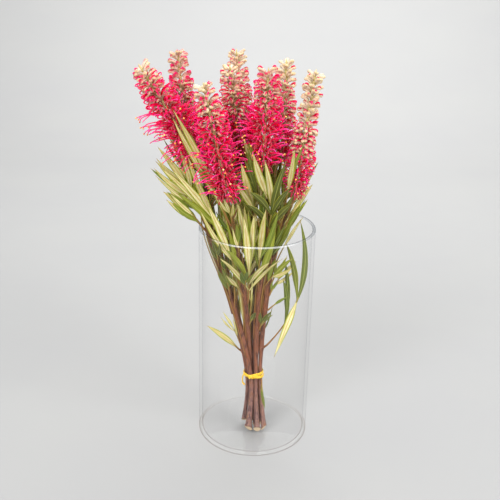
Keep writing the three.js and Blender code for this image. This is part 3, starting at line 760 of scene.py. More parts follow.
def value_of(tree, name):
    return add_node(tree, "Attribute", attribute_name=name).outputs["Fac"]


def tinted(tree, base, place, low, high, tint, most=1.0):
    """The base colour, which turns to the tint as place runs from low to high."""
    share = add_node(tree, "MapRange", {"Value": place, "From Min": low, "From Max": high, "To Max": most})
    return add_node(tree, "Mix", {0: share, MIX_A: base, MIX_B: linear(tint)}, **BLEND)


def clear_glass(name, painted_edge_stops, painted_glow):
    """Soda-lime glass, machine drawn and fire polished: clear enough to show all behind it, and smooth enough
    to mirror the lights. Painted shade darkens it where it is seen edge on, and a painted reflection browns
    the foot's edges, both standing in for what bending through the glass would show there. It is drawn
    without bending, since a hollow vessel this thin hardly shifts what is behind it. The last argument sets a
    painted
    highlight: how strongly a pale matt layer shines on a rounded edge where it faces the eye, in place of the
    light that its bend would gather from all round."""
    material, tree = new_material(name)
    edge = add_node(tree, "LayerWeight", {"Blend": 0.5}).outputs["Facing"]
    # Painted shade: the glass darkens where it is seen edge on, in place of what bending through it would
    # show
    grey = add_node(tree, "ValToRGB", {0: edge}, stops=painted_edge_stops)
    open_way = add_node(tree, "BsdfTransparent", {"Color": grey})
    mirror = add_node(tree, "BsdfPrincipled", {
        "Base Color": linear(0xFFFFFF), "Metallic": 1.0, "Roughness": 0.03})
    # Schlick's curve for an index of 1.5, which unlike a Fresnel node holds on both faces of a wall
    steep = add_node(tree, "Math", {0: edge, 1: 5.0}, operation="POWER")
    shine = add_node(tree, "Math", {0: steep, 1: 0.3, 2: 0.012}, operation="MULTIPLY_ADD")
    seen = add_node(tree, "MixShader", {0: shine, 1: open_way, 2: mirror})
    # Painted highlight: a pale matt layer on a rounded edge, strongest where it faces the eye, in place of
    # the light that its bend would gather
    if painted_glow:
        painted_glow_layer = add_node(tree, "BsdfPrincipled", {
            "Base Color": linear(0xFFFFFF), "Roughness": 0.2, "Specular IOR Level": 0.5})
        share = add_node(tree, "MapRange", {"Value": edge, "From Min": 0.4, "From Max": 0.12,
                                            "To Max": painted_glow})
        seen = add_node(tree, "MixShader", {0: share, 1: seen, 2: painted_glow_layer})
    lit = add_node(tree, "BsdfTransparent", {"Color": linear(0xFFFFFF)})
    rays = add_node(tree, "LightPath")
    shader = add_node(tree, "MixShader", {0: rays.outputs["Is Shadow Ray"], 1: seen, 2: lit})
    return finish_material(material, tree, shader)


def glass_materials():
    """The wall, the fire-polished lip, and the rounded edges of the foot."""
    # Painted shade on the wall, only at its very edges
    wall = clear_glass("soda_lime_glass_wall", (
        (0.0, 0xFFFFFF), (0.5, 0xFEFEFE), (0.8, 0xFBFBFB), (0.95, 0xF2F3F3), (1.0, 0xCCCFD5)), 0.0)
    # Painted shade on the lip's edges, with a painted highlight where it faces the eye
    lip = clear_glass("soda_lime_glass_lip", (
        (0.0, 0xFBFBFB), (0.5, 0xE6E8E9), (0.8, 0xAEB2B6), (1.0, 0x7E8488)), 0.27)
    # Painted shade and a painted brown reflection of the stems on the foot's rounded edges
    foot = clear_glass("soda_lime_glass_foot", (
        (0.0, 0xFFFFFF), (0.4, 0xFBFAF9), (0.7, 0xCFC2B8), (1.0, 0x806C60)), 0.0)
    return [wall, lip, foot]


def bark_material():
    """Young woody bark, grown: red-brown and faintly ridged, purple-brown near the cut and olive near the
    flowers, with pale corky specks half a millimetre wide."""
    material, tree = new_material("young_red_bark")
    place = add_node(tree, "NewGeometry")
    height = add_node(tree, "SeparateXYZ", {0: place}).outputs["Z"]
    share = add_node(tree, "MapRange", {"Value": height, "From Min": 0.0, "From Max": 0.38})
    colour = add_node(tree, "ValToRGB", {0: share}, stops=(
        (0.0, 0x9A7A72), (0.2, 0x92695E), (0.26, 0x946048), (0.55, 0x8A5638), (0.75, 0x7E562C),
        (1.0, 0x948444)))
    stretched = add_node(tree, "VectorMath", {0: place, 1: (1.0, 1.0, 0.06)}, operation="MULTIPLY")
    streaks = add_node(tree, "TexNoise", {"Vector": stretched, "Scale": 1 / (0.9 * MM),
                                          "Detail": 3.0, "Roughness": 0.6})
    shaded = add_node(tree, "ValToRGB", {0: streaks}, stops=((0.3, 0x8C746A), (0.7, 0xFFF4EC)))
    stained = add_node(tree, "VectorMath", {0: place, 1: (1.0, 1.0, 0.22)}, operation="MULTIPLY")
    patches = add_node(tree, "TexNoise", {"Vector": stained, "Scale": 1 / (3.4 * MM),
                                          "Detail": 2.0, "Roughness": 0.6})
    stain = add_node(tree, "ValToRGB", {0: patches}, stops=(
        (0.34, 0x9C8A9C), (0.48, 0xFFFFFF), (0.6, 0xFFFCF0), (0.68, 0xFFE0A0)))
    streaked = add_node(tree, "Mix", {0: 0.8, MIX_A: colour, MIX_B: shaded}, **SHADE)
    worn = add_node(tree, "Mix", {0: 0.9, MIX_A: streaked, MIX_B: stain}, **SHADE)
    specks = add_node(tree, "TexVoronoi", {"Vector": place, "Scale": 1 / (2.6 * MM)}, feature="F1")
    pale = tinted(tree, worn, specks, 0.2, 0.08, 0xB98B70)
    bump = add_node(tree, "Bump", {"Height": streaks, "Strength": 0.5, "Distance": 0.35 * MM})
    shader = add_node(tree, "BsdfPrincipled", {"Base Color": pale, "Roughness": 0.55, "Normal": bump})
    return finish_material(material, tree, shader)


def cut_wood_material():
    """The cut end of a green stem, sliced by a blade: pale damp wood, browned where it dried."""
    material, tree = new_material("cut_green_wood")
    grain = add_node(tree, "TexNoise", {"Scale": 1 / (0.8 * MM), "Detail": 2.0})
    colour = add_node(tree, "ValToRGB", {0: grain}, stops=((0.35, 0xC8A078), (0.65, 0xF2E2C0)))
    shader = add_node(tree, "BsdfPrincipled", {"Base Color": colour, "Roughness": 0.8})
    return finish_material(material, tree, shader)


def tape_material():
    """Florist's polythene tape, stretched and knotted: bright yellow, creased along its length, and a little
    shiny."""
    material, tree = new_material("polythene_tape")
    tone = value_of(tree, "tone")
    run = add_node(tree, "CombineXYZ", {"X": value_of(tree, "fibre_x"), "Y": value_of(tree, "fibre_y"),
                                        "Z": tone})
    drawn = add_node(tree, "VectorMath", {0: run, 1: (1.0, 0.15, 9.0)}, operation="MULTIPLY")
    creases = add_node(tree, "TexNoise", {"Vector": drawn, "Scale": 1.6, "Detail": 2.0})
    colour = add_node(tree, "ValToRGB", {0: creases}, stops=((0.3, 0xE0A61A), (0.7, 0xFFDC3C)))
    bump = add_node(tree, "Bump", {"Height": creases, "Strength": 0.7, "Distance": 0.3 * MM})
    shader = add_node(tree, "BsdfPrincipled", {"Base Color": colour, "Roughness": 0.38, "Normal": bump})
    return finish_material(material, tree, shader)


def leaf_material():
    """A grevillea leaf blade, grown: waxy green above with a pale midrib, and pressed silky felt below that
    reads as pale straw between a golden midrib and yellow-green edges. Its tips dry brown."""
    material, tree = new_material("grevillea_leaf_blade")
    tone, deep, under = value_of(tree, "tone"), value_of(tree, "age"), value_of(tree, "under")
    across = add_node(tree, "Math", {0: value_of(tree, "across")}, operation="ABSOLUTE")
    offset = add_node(tree, "Math", {0: tone, 1: 90.0}, operation="MULTIPLY")
    run = add_node(tree, "CombineXYZ", {"X": value_of(tree, "fibre_x"), "Y": value_of(tree, "fibre_y"),
                                        "Z": offset})
    # Felt and veins run the length of a lobe, about 0.8 mm apart
    drawn = add_node(tree, "VectorMath", {0: run, 1: (1.0, 0.05, 1.0)}, operation="MULTIPLY")
    veins = add_node(tree, "TexNoise", {"Vector": drawn, "Scale": 1 / 0.8, "Detail": 2.0})
    blotch = add_node(tree, "TexNoise", {"Vector": run, "Scale": 1 / 14.0, "Detail": 2.0})
    young = add_node(tree, "ValToRGB", {0: tone}, stops=((0.0, 0xA0A634), (0.5, 0x829232), (1.0, 0x607A2A)))
    upper = add_node(tree, "Mix", {0: deep, MIX_A: young, MIX_B: linear(0x5A5E26)}, **BLEND)
    felt = add_node(tree, "ValToRGB", {0: veins}, stops=((0.3, 0xCCC48E), (0.7, 0xF2ECC0)))
    gold = add_node(tree, "ValToRGB", {0: blotch}, stops=((0.35, 0xFFFCF0), (0.7, 0xECE2B4)))
    worn = add_node(tree, "ValToRGB", {0: tone}, stops=((0.0, 0xD6D2C0), (0.6, 0xFFFFFF)))
    gilt = add_node(tree, "Mix", {0: 0.7, MIX_A: felt, MIX_B: gold}, **SHADE)
    lower = add_node(tree, "Mix", {0: 1.0, MIX_A: gilt, MIX_B: worn}, **SHADE)
    ribbed = tinted(tree, lower, across, 0.15, 0.05, 0xC6A454)
    edged = tinted(tree, ribbed, across, 0.6, 0.76, 0x9CA02C)
    top = tinted(tree, upper, across, 0.14, 0.05, 0xB7B860, most=0.6)
    hemmed = tinted(tree, top, across, 0.84, 0.96, 0xB0AC44, most=0.8)
    shade = add_node(tree, "ValToRGB", {0: veins}, stops=((0.3, 0xC0C4A0), (0.7, 0xFFFFF4)))
    topped = add_node(tree, "Mix", {0: 0.6, MIX_A: hemmed, MIX_B: shade}, **SHADE)
    both = add_node(tree, "Mix", {0: under, MIX_A: topped, MIX_B: edged}, **BLEND)
    colour = tinted(tree, both, value_of(tree, "along"), 0.93, 1.0, 0xA07A48)
    rough = add_node(tree, "MapRange", {"Value": under, "To Min": 0.42, "To Max": 0.8})
    bump = add_node(tree, "Bump", {"Height": veins, "Strength": 0.4, "Distance": 0.25 * MM})
    shader = add_node(tree, "BsdfPrincipled", {
        "Base Color": colour, "Roughness": rough, "Normal": bump,
        "Specular IOR Level": 0.35})
    return finish_material(material, tree, shader)


def stalk_material():
    """A leaf's stalk, grown: yellow-brown and finely mottled, redder where it leaves the stem."""
    material, tree = new_material("grevillea_leaf_stalk")
    grain = add_node(tree, "TexNoise", {"Scale": 1 / (0.7 * MM), "Detail": 2.0})
    colour = add_node(tree, "ValToRGB", {0: value_of(tree, "along")}, stops=(
        (0.0, 0x8E5E34), (0.4, 0xA47C38), (1.0, 0xACA04C)))
    shaded = add_node(tree, "ValToRGB", {0: grain}, stops=((0.3, 0xB9A48C), (0.7, 0xFFFFFF)))
    mixed = add_node(tree, "Mix", {0: 0.7, MIX_A: colour, MIX_B: shaded}, **SHADE)
    shader = add_node(tree, "BsdfPrincipled", {"Base Color": mixed, "Roughness": 0.55})
    return finish_material(material, tree, shader)


def style_material():
    """A grevillea style, grown: a waxy crimson wire, hotter pink as it ages and towards its tip."""
    material, tree = new_material("grevillea_style")
    young = add_node(tree, "ValToRGB", {0: value_of(tree, "along")}, stops=(
        (0.0, 0xE20044), (0.5, 0xFF0454), (1.0, 0xFF3488)))
    old = add_node(tree, "ValToRGB", {0: value_of(tree, "along")}, stops=(
        (0.0, 0xE0003C), (0.5, 0xFF0454), (1.0, 0xFF469A)))
    aged = add_node(tree, "Mix", {0: value_of(tree, "age"), MIX_A: young, MIX_B: old}, **BLEND)
    shade = add_node(tree, "ValToRGB", {0: value_of(tree, "tone")}, stops=(
        (0.0, 0xCC98AC), (0.5, 0xFFFFFF)))
    mixed = add_node(tree, "Mix", {0: 0.8, MIX_A: aged, MIX_B: shade}, **SHADE)
    shader = add_node(tree, "BsdfPrincipled", {
        "Base Color": mixed, "Roughness": 0.36, "Specular IOR Level": 0.22,
        "Subsurface Weight": 0.7, "Subsurface Scale": 4.0 * MM, "Subsurface Radius": (1.0, 0.1, 0.25)})
    return finish_material(material, tree, shader)


def perianth_material():
    """A floret's tube and a bud, grown: downy cream on a green stalk, blushed pink on the back and
    crimson as it opens, so that an old one keeps its cream only at the lip."""
    material, tree = new_material("grevillea_floret")
    along, age, blush = value_of(tree, "along"), value_of(tree, "age"), value_of(tree, "blush")
    body = add_node(tree, "ValToRGB", {0: along}, stops=(
        (0.0, 0xB8AE62), (0.2, 0xD2C48E), (0.4, 0xE4D5BC), (0.8, 0xE3D1B2), (1.0, 0xD2B884)))
    pink = add_node(tree, "ValToRGB", {0: along}, stops=(
        (0.0, 0xC4A878), (0.25, 0xEAC8BA), (0.56, 0xEAB4B0), (0.7, 0xCC2850), (1.0, 0xB4083C)))
    sharper = add_node(tree, "MapRange", {"Value": blush, "From Min": 0.3, "From Max": 0.62})
    blushed = add_node(tree, "Mix", {0: sharper, MIX_A: body, MIX_B: pink}, **BLEND)
    old = add_node(tree, "ValToRGB", {0: along}, stops=(
        (0.0, 0xA9863C), (0.18, 0xB84450), (0.5, 0xC44454), (0.72, 0xBC203C), (0.9, 0xC01840),
        (1.0, 0xDCA48C)))
    aged = add_node(tree, "Mix", {0: age, MIX_A: blushed, MIX_B: old}, **BLEND)
    down = add_node(tree, "TexNoise", {"Scale": 1 / (0.9 * MM), "Detail": 2.0})
    shade = add_node(tree, "ValToRGB", {0: down}, stops=((0.3, 0xE2D2C4), (0.7, 0xFFFFFF)))
    mixed = add_node(tree, "Mix", {0: 0.6, MIX_A: aged, MIX_B: shade}, **SHADE)
    bump = add_node(tree, "Bump", {"Height": down, "Strength": 0.3, "Distance": 0.2 * MM})
    shader = add_node(tree, "BsdfPrincipled", {
        "Base Color": mixed, "Roughness": 0.62, "Normal": bump,
        "Sheen Weight": 0.2, "Sheen Roughness": 0.5, "Subsurface Weight": 0.2,
        "Subsurface Scale": 1.5 * MM, "Subsurface Radius": (1.0, 0.7, 0.6)})
    return finish_material(material, tree, shader)


def pollen_material():
    """The pollen disc at a style's tip: dusty, cream on some discs and orange on others."""
    material, tree = new_material("pollen_disc")
    dust = add_node(tree, "TexNoise", {"Scale": 1 / (0.6 * MM)})
    spread = add_node(tree, "Math", {0: dust, 1: 0.3, 2: value_of(tree, "tone")}, operation="MULTIPLY_ADD")
    colour = add_node(tree, "ValToRGB", {0: spread}, stops=(
        (0.15, 0xF8D488), (0.4, 0xF5B44A), (0.8, 0xF09038), (1.0, 0xE67A2A)))
    shader = add_node(tree, "BsdfPrincipled", {"Base Color": colour, "Roughness": 0.75})
    return finish_material(material, tree, shader)


def axis_material():
    """A spike's own axis, grown: yellow-green and felted."""
    material, tree = new_material("spike_axis")
    down = add_node(tree, "TexNoise", {"Scale": 1 / (1.1 * MM), "Detail": 2.0})
    colour = add_node(tree, "ValToRGB", {0: down}, stops=((0.3, 0xA89A54), (0.7, 0xDCCC90)))
    shader = add_node(tree, "BsdfPrincipled", {"Base Color": colour, "Roughness": 0.8, "Sheen Weight": 0.3})
    return finish_material(material, tree, shader)


def paper_material():
    """A matt studio paper sweep, rolled: even pale grey with a tooth too fine to see."""
    material, tree = new_material("studio_paper")
    tooth = add_node(tree, "TexNoise", {"Scale": 1 / (40 * MM), "Detail": 3.0})
    colour = add_node(tree, "ValToRGB", {0: tooth}, stops=((0.3, 0x9D9D9D), (0.7, 0x9F9F9E)))
    shader = add_node(tree, "BsdfPrincipled", {"Base Color": colour, "Roughness": 0.9})
    return finish_material(material, tree, shader)


# Shapes

def arc_profile(centre, radius, low, high, count):
    turns = np.radians(np.linspace(low, high, count))
    return np.stack([centre[0] + radius * np.cos(turns), centre[1] + radius * np.sin(turns)], axis=-1)


VASE_SIDES = 192
BASE_ROUND = 2.2
INNER_ROUND = 2.0
PUNT_HEIGHT = 0.6
LIP_FINISH, FOOT_FINISH = 1, 2
# The points on the profile's outer corner, its lip and its inner bend, and the rows of faces that they span
CORNER_POINTS, LIP_POINTS, BEND_POINTS = 7, 11, 8
CORNER_ROWS = slice(1, CORNER_POINTS + 1)
LIP_ROWS = slice(CORNER_POINTS + 2, CORNER_POINTS + 1 + LIP_POINTS)
BEND_ROWS = slice(1 - BEND_POINTS, None)


def vase_profile():
    """The glass from the middle of its underside, up the outside, over the rim and down the inside."""
    inner = VASE_RADIUS - GLASS_WALL
    rim = GLASS_WALL / 2
    edge = VASE_RADIUS - BASE_ROUND
    underside = [(0.0, PUNT_HEIGHT), (edge - 2.5, PUNT_HEIGHT), (edge - 1, 0.0)]
    corner = arc_profile((edge, BASE_ROUND), BASE_ROUND, -90, 0, CORNER_POINTS)
    lip = arc_profile((VASE_RADIUS - rim, VASE_HEIGHT - rim), rim, 0, 180, LIP_POINTS)
    bend = arc_profile((inner - INNER_ROUND, GLASS_FLOOR + INNER_ROUND), INNER_ROUND, 0, -90, BEND_POINTS)
    return np.vstack([underside, corner, lip, bend, [(0.0, GLASS_FLOOR)]])


def build_vase():
    """A lathed shell, closed at its axis."""
    outline = vase_profile()
    middle = outline[1:-1]
    levels = len(middle) - 1
    turns = turns_round(VASE_SIDES)
    rings = np.stack([
        middle[:, :1] * np.cos(turns), middle[:, :1] * np.sin(turns),
        np.broadcast_to(middle[:, 1:], (len(middle), VASE_SIDES))], axis=-1)
    points = np.vstack([rings.reshape(-1, 3), [(0, 0, outline[0][1]), (0, 0, outline[-1][1])]])
    ring = np.arange(VASE_SIDES)
    level = np.arange(levels)[:, None] * VASE_SIDES
    after = np.roll(ring, -1)
    near, far = level + ring, level + after
    quads = np.stack([near, far, far + VASE_SIDES, near + VASE_SIDES], axis=-1)
    last = levels * VASE_SIDES
    base = np.stack([after, ring, np.full(VASE_SIDES, len(points) - 2)], axis=-1)
    floor = np.stack([last + ring, last + after, np.full(VASE_SIDES, len(points) - 1)], axis=-1)
    surface = Surface()
    surface.points, surface.count = [points], len(points)
    surface.faces = [quads.reshape(-1, 4), base, floor]
    finish = np.zeros((levels, VASE_SIDES), int)
    finish[CORNER_ROWS] = FOOT_FINISH
    finish[LIP_ROWS] = LIP_FINISH
    finish[BEND_ROWS] = FOOT_FINISH
    surface.finish = [finish.ravel(), np.zeros(2 * VASE_SIDES, int)]
    surface.smooth = [np.ones((levels + 2) * VASE_SIDES, bool)]
    return surface.build("glass_cylinder_vase", "vase", glass_materials())


STEM_SIDES = 18
STEM_RINGS = 110
CUT_SLOPE = 1.5
# How much of the cut's rise the lowest rings share, so that the foot isn't creased
CUT_FADE = np.array([1, 0.55, 0.25])
SCAR_LENGTH = 2.6
SCAR_SWELL = 0.9


def build_stem(stem, materials):
    """A stem with faint ridges, a swelling where each leaf leaves it, and a slanted cut at its foot."""
    share = np.linspace(0, 1, STEM_RINGS)
    path = stem.bark.at(share)
    way = heading(stem.bark, share)
    first = square_to(EAST, way)
    second = np.cross(way, first)
    turn = turns_round(STEM_SIDES)
    run = length_of(stem.bark)
    ridges = 1 + 0.035 * np.cos(3 * turn + stem.number) + 0.02 * np.cos(7 * turn + 5 * share[:, None])
    # Thicker above the tie up to the flowers, and again from the tie down to the foot
    level = path[:, 2]
    swell = (1 + 0.34 * eased((level - 94) / 50) * eased((330 - level) / 60)
             + 0.1 * eased((76 - level) / 20) + 0.25 * eased((24 - level) / 20))
    radius = (stem.radius(share) * swell)[:, None] * ridges
    for foot, away in stem.scars:
        side = (np.clip(first @ away, -1, 1)[:, None] * np.cos(turn)
                + (second @ away)[:, None] * np.sin(turn))
        near = np.exp(-((share - foot) * run / SCAR_LENGTH) ** 2)[:, None]
        radius += SCAR_SWELL * near * np.clip(side, 0.15, 1)
    section = radius[..., None] * circle(STEM_SIDES)
    surface = Surface()
    points = surface.sweep(path[None], first[None], section[None], finish=0, cap=1)
    # The cut: the side away from the slope's low edge is drawn up along the stem
    low = np.radians(60 + 27 * (stem.number % 4))
    rise = (1 - np.cos(turn - low)) * stem.radius(0.0) * CUT_SLOPE * CUT_FADE[:, None]
    rings = len(CUT_FADE)
    cut = points[0, :rings * STEM_SIDES].reshape(rings, STEM_SIDES, 3)
    cut += rise[..., None] * way[:rings, None]
    points[0, -2] = cut[0].mean(axis=0)
    surface.points[0] = points.reshape(-1, 3)
    node = f"stem_{stem.name}"
    return surface.build(f"bark_{node}", node, materials)


def waist_reach(grown, turn, height):
    outward = np.array([cos(turn), sin(turn), 0])
    reach = 0.0
    for stem in grown.values():
        for level in (height - TAPE_HEIGHT / 2, height + TAPE_HEIGHT / 2):
            share = stem.share_at(level)
            reach = max(reach, float(stem.point(share) @ outward + stem.radius(share)))
    return reach + SEAT_GAP


# The turns of the tape: how far each rises and falls, its middle height, the angle where it stands highest,
# and its lift off the stems
TAPE_TURNS = ((2.8, 86.2, 0.0, 0.45), (1.3, 84.9, 2.6, 0.95))
TAPE_HALF_THICK = 0.55
TAPE_HALF_WIDTH = 2.2
BAND_SIDES = 14
BAND_STEPS = 97
# The knot and the slack turn are the same tape, drawn together
ROPE_SIDES = 10
KNOT_TURN = radians(-100)
KNOT_HEIGHT = 84.6
KNOT_RADIUS = 1.4
KNOT_STEPS = 60
SLACK_RADIUS = 2.1
SLACK_STEPS = 40
TIE_SEED = 77


def tape_band(grown, rise, level, phase, lift):
    """One turn of tape round the waist: its path, closed on itself."""
    turns = np.linspace(0, 2 * pi, BAND_STEPS)
    heights = level + rise * np.cos(turns - phase)
    reach = lift + np.array([waist_reach(grown, turn, height) for turn, height in zip(turns, heights)])
    return np.stack([reach * np.cos(turns), reach * np.sin(turns), heights], axis=-1)


def lengthwise(run, steps):
    """The length of tape drawn so far at each step of a sweep."""
    return np.linspace(0, run, steps)[None, :, None]


def build_tie(materials):
    """The tape's turns, its knot in front and the slack turn that hangs at the left."""
    grown = bunch().stems
    surface = Surface()
    rng = np.random.default_rng(TIE_SEED)
    for rise, level, phase, lift in TAPE_TURNS:
        band = tape_band(grown, rise, level, phase, lift)
        crease = 1 + 0.12 * np.sin(np.arange(BAND_STEPS) * 1.9) + rng.uniform(-0.08, 0.08, BAND_STEPS)
        crease[-1] = crease[0]
        halves = np.stack([TAPE_HALF_THICK * crease, TAPE_HALF_WIDTH / crease], axis=-1)
        surface.sweep(band[None], band[None] * [1, 1, 0], (halves[:, None] * circle(BAND_SIDES))[None],
                      tone=rise / 3, fibre_x=np.linspace(0, 6, BAND_SIDES),
                      fibre_y=lengthwise(70, BAND_STEPS))
    rope = np.linspace(0, 5, ROPE_SIDES)
    reach = waist_reach(grown, KNOT_TURN, 85.5) + 1.7
    centre = np.array([reach * cos(KNOT_TURN), reach * sin(KNOT_TURN), KNOT_HEIGHT])
    t = np.linspace(0, 2 * pi, KNOT_STEPS)
    lumps = np.stack([2.9 * np.sin(t) + 1.0 * np.sin(2 * t), 0.75 * np.cos(3 * t) - 0.3,
                      1.5 * np.sin(2 * t + 0.5) + 0.5 * np.cos(t)], axis=-1)
    surface.wire(centre + lumps, np.array([0.3, -1.0, 0.2]), np.full(KNOT_STEPS, KNOT_RADIUS), ROPE_SIDES,
                 flat=0.75, tone=0.4, fibre_x=rope, fibre_y=lengthwise(30, KNOT_STEPS))
    rise, level, *_ = TAPE_TURNS[0]
    left = waist_reach(grown, pi, level - rise) + 0.5
    slack = Spline((-left + 0.8, 1.0, 83.2), (-left - 1.2, -0.6, 80.5), (-left - 2.4, -2.2, 75.5),
                   (-left - 1.9, -4.6, 71.2), (-left + 1.2, -7.0, 68.8))
    surface.wire(slack.at(np.linspace(0, 1, SLACK_STEPS)), np.array([0.0, 1.0, 0.0]),
                 np.full(SLACK_STEPS, SLACK_RADIUS), ROPE_SIDES, flat=0.4,
                 tone=0.7, fibre_x=rope, fibre_y=lengthwise(22, SLACK_STEPS))
    return surface.build("yellow_tape_tie", "tie", materials)


STALK_STEPS = 16
STALK_SIDES = 8
STALK_ROOT = 1.3
LOBE_STEPS = 20
# Where the points of a lobe's section lie, from its edge at 1 over the top to the other edge and back below
LOBE_TOP = np.array([1, 0.86, 0.6, 0.3, 0.1, 0, -0.1, -0.3, -0.6, -0.86, -1])
LOBE_BELOW = np.array([-0.86, -0.6, -0.3, -0.12, 0, 0.12, 0.3, 0.6, 0.86])
BLADE_THICK = 0.55
EDGE_ROLL = 0.16
# The share of lobes that have rolled over on a leaf that shows its pale side
ROLLED_SHARE = 0.28
PALE_SIDE_BELOW = 0.5
LEAF_SEED = 300


def lobe_width(share):
    """How broad a lobe is along its length: it opens from a narrow foot, runs nearly even and tapers to a
    point."""
    opening = 0.28 + 0.72 * eased(share / 0.4)
    closing = 1 - np.clip((share - 0.42) / 0.58, 0, 1) ** 1.75
    return np.maximum(opening * closing, 0.03)


def sweep_lobe(surface, lobe, deep, rolled, rng):
    """A lobe with its edges rolled under, a raised midrib below, a slow twist and a wave."""
    share = np.linspace(0, 1, LOBE_STEPS)
    path = lobe.curve.at(share)
    way = heading(lobe.curve, share)
    flat = square_to(lobe.face, way)
    across = np.cross(flat, way)
    twist = rng.uniform(-34, 34) * (share - 0.25) + (180 if rolled else 0)
    across = turned(across, way, twist[:, None])
    half = lobe.width / 2 * lobe_width(share)[:, None]
    top, below = LOBE_TOP[None], LOBE_BELOW[None]
    wave = rng.uniform(0.15, 0.45) * np.sin(share * rng.uniform(5, 11) + rng.uniform(0, 6))[:, None]

    def height(place):
        out = np.abs(place)
        dome = -EDGE_ROLL * half * out ** 3 * 2 + 0.35 * out * (1 - out)
        return dome + wave * place * (half > 1)

    thick = BLADE_THICK * (0.35 + 0.65 * (1 - below ** 2)) + 0.5 * np.exp(-(below / 0.1) ** 2)
    thick = thick * np.clip(half / 1.5, 0.3, 1)
    x = np.concatenate([top * half, below * half], axis=1)
    y = np.concatenate([height(top), height(below) - thick], axis=1)
    under = np.concatenate([np.where(np.abs(LOBE_TOP) == 1, 0.5, 0.0), np.ones(len(LOBE_BELOW))])
    place = np.concatenate([LOBE_TOP, LOBE_BELOW])
    run = share * length_of(lobe.curve)
    surface.sweep(path[None], across[None], np.stack([x, y], axis=-1)[None], under=under, across=place,
                  tone=rng.uniform(0, 1), age=deep, fibre_x=x[None], fibre_y=run[None, :, None])


def sweep_leaf(surface, plan, rng):
    """A leaf's stalk, let into its stem, and its lobes."""
    share = np.linspace(0, STALK_END, STALK_STEPS)
    path = plan.curve.at(share)
    path[0] -= STALK_ROOT * plan.away
    radius = profile(share, ((0, 1.6), (0.03, 1.25), (0.1, 1.05), (STALK_END, 0.7)))
    surface.wire(path, plan.face, radius, STALK_SIDES, finish=1, tone=rng.uniform(0, 1))
    row = plan.row
    for k, lobe in enumerate(plan.lobes):
        if k == 0:
            lobe = Lobe(Stretch(plan.curve, row.blade_from, 1), lobe.face, lobe.width)
        is_pale = row.deep < PALE_SIDE_BELOW
        rolled = k == row.rolled or (is_pale and k > 0 and rng.random() < ROLLED_SHARE)
        sweep_lobe(surface, lobe, row.deep, rolled, rng)


def build_leaf(plan, index, materials):
    surface = Surface()
    sweep_leaf(surface, plan, np.random.default_rng(LEAF_SEED + index))
    node = f"leaf_{index + 1:02d}"
    return surface.build(f"grevillea_{node}", node, materials)


SMALL_SEED = 1700
LOOSE_STALKS = 4
LOOSE_STEPS = 22
LOOSE_SIDES = 7


def sweep_loose_stalks(surface, stem, rng):
    """The bare stalks that run up beside a stem to the leaves at the mouth."""
    t = np.linspace(0, 1, LOOSE_STEPS)
    for _ in range(LOOSE_STALKS):
        low = stem.share_at(rng.uniform(100, 220))
        high = min(low + rng.uniform(0.18, 0.5), 0.95)
        share = low + (high - low) * t
        way = heading(stem.bark, share)
        turn = rng.uniform(-pi, pi)
        beside = square_to(np.array([cos(turn), sin(turn), 0.0]), way)
        offset = 1.25 * stem.radius(share) + 0.6 + rng.uniform(1.5, 5.5) * t ** 1.5
        path = stem.bark.at(share) + offset[:, None] * beside
        radius = rng.uniform(0.75, 1.25) * profile(t, ((0, 1.3), (0.1, 1.0), (1, 0.7)))
        surface.wire(path, beside[None], radius, LOOSE_SIDES, finish=1, tone=rng.random())


def build_small_leaves(stem, plans, materials):
    """A stem's lesser leaves and stalks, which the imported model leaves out."""
    rng = np.random.default_rng(SMALL_SEED + stem.number)
    surface = Surface()
    for plan in plans:
        sweep_leaf(surface, plan, rng)
    sweep_loose_stalks(surface, stem, rng)
    return surface.build(f"small_leaves_{stem.name}", None, materials)


# Flower spikes. A floret leaves the axis on a short stalk, its tube arches over at the end, and its style
# bows out of the tube's back until the tip springs free.

BLOOM_SEED = 900
BUD_SEED = 1300
# Pairs of florets for each millimetre of a spike, where they are open and where they are still buds
OPEN_PAIRS = 0.94
BUD_PAIRS = 0.6
PAIR_SPREAD = 10.0
# The shares of a spike between which its florets stand
FLORETS_FROM, FLORETS_TO = 0.03, 0.95
# How far from a spike's axis its florets can reach
FLORET_REACH = 48.0
AXIS_RADIUS = 1.9
AXIS_STEPS = 40
AXIS_SIDES = 12
STYLE_RADIUS = 0.84
STYLE_STEPS = 14
STYLE_SIDES = 5
TUBE_MARGIN = 0.6
TUBE_STEPS = 9
TUBE_SIDES = 6
# The points of a tube that its style springs from, in an open floret and in a bud, and the first point that
# the clearance looks at
OPEN_LEAVE = 2
BUD_LEAVE = 4
FIRST_TRIED = 4
DISC_RADIUS = 1.15
DISC_SIDES = 8
DISC_SHAPE = (0.45, 0.95, 1.0, 0.8, 0.25)
# The share of sprung styles that still carry their pollen disc
DISC_SHARE = 0.42


class Rows(NamedTuple):
    """The florets of a spike: their places and directions, their share of the way up, and their age."""
    base: np.ndarray
    out: np.ndarray
    rise: np.ndarray
    side: np.ndarray
    share: np.ndarray
    age: np.ndarray

    def where(self, kept):
        return Rows(*(values[kept] for values in self))


def floret_rows(stem, rng, pairs_per_mm):
    run = length_of(stem.spike)
    pairs = int(run * pairs_per_mm)
    pair = np.repeat(np.arange(pairs), 2)
    share = FLORETS_TO * (pair + 0.6) / pairs + rng.normal(0, 0.003, pairs * 2)
    share = np.clip(share, FLORETS_FROM, FLORETS_TO)
    turn = pair * GOLDEN_ANGLE + np.tile([-PAIR_SPREAD, PAIR_SPREAD], pairs) + rng.uniform(-5, 5, pairs * 2)
    rise = heading(stem.spike, share)
    out = around_spike(stem.spike, share, turn)
    base = stem.spike.at(share) + 0.7 * AXIS_RADIUS * out
    age = np.clip((1 - share / stem.split - stem.row.late) / (1 - stem.row.late), 0, 1)
    return Rows(base, out, rise, np.cross(out, rise), share, age)


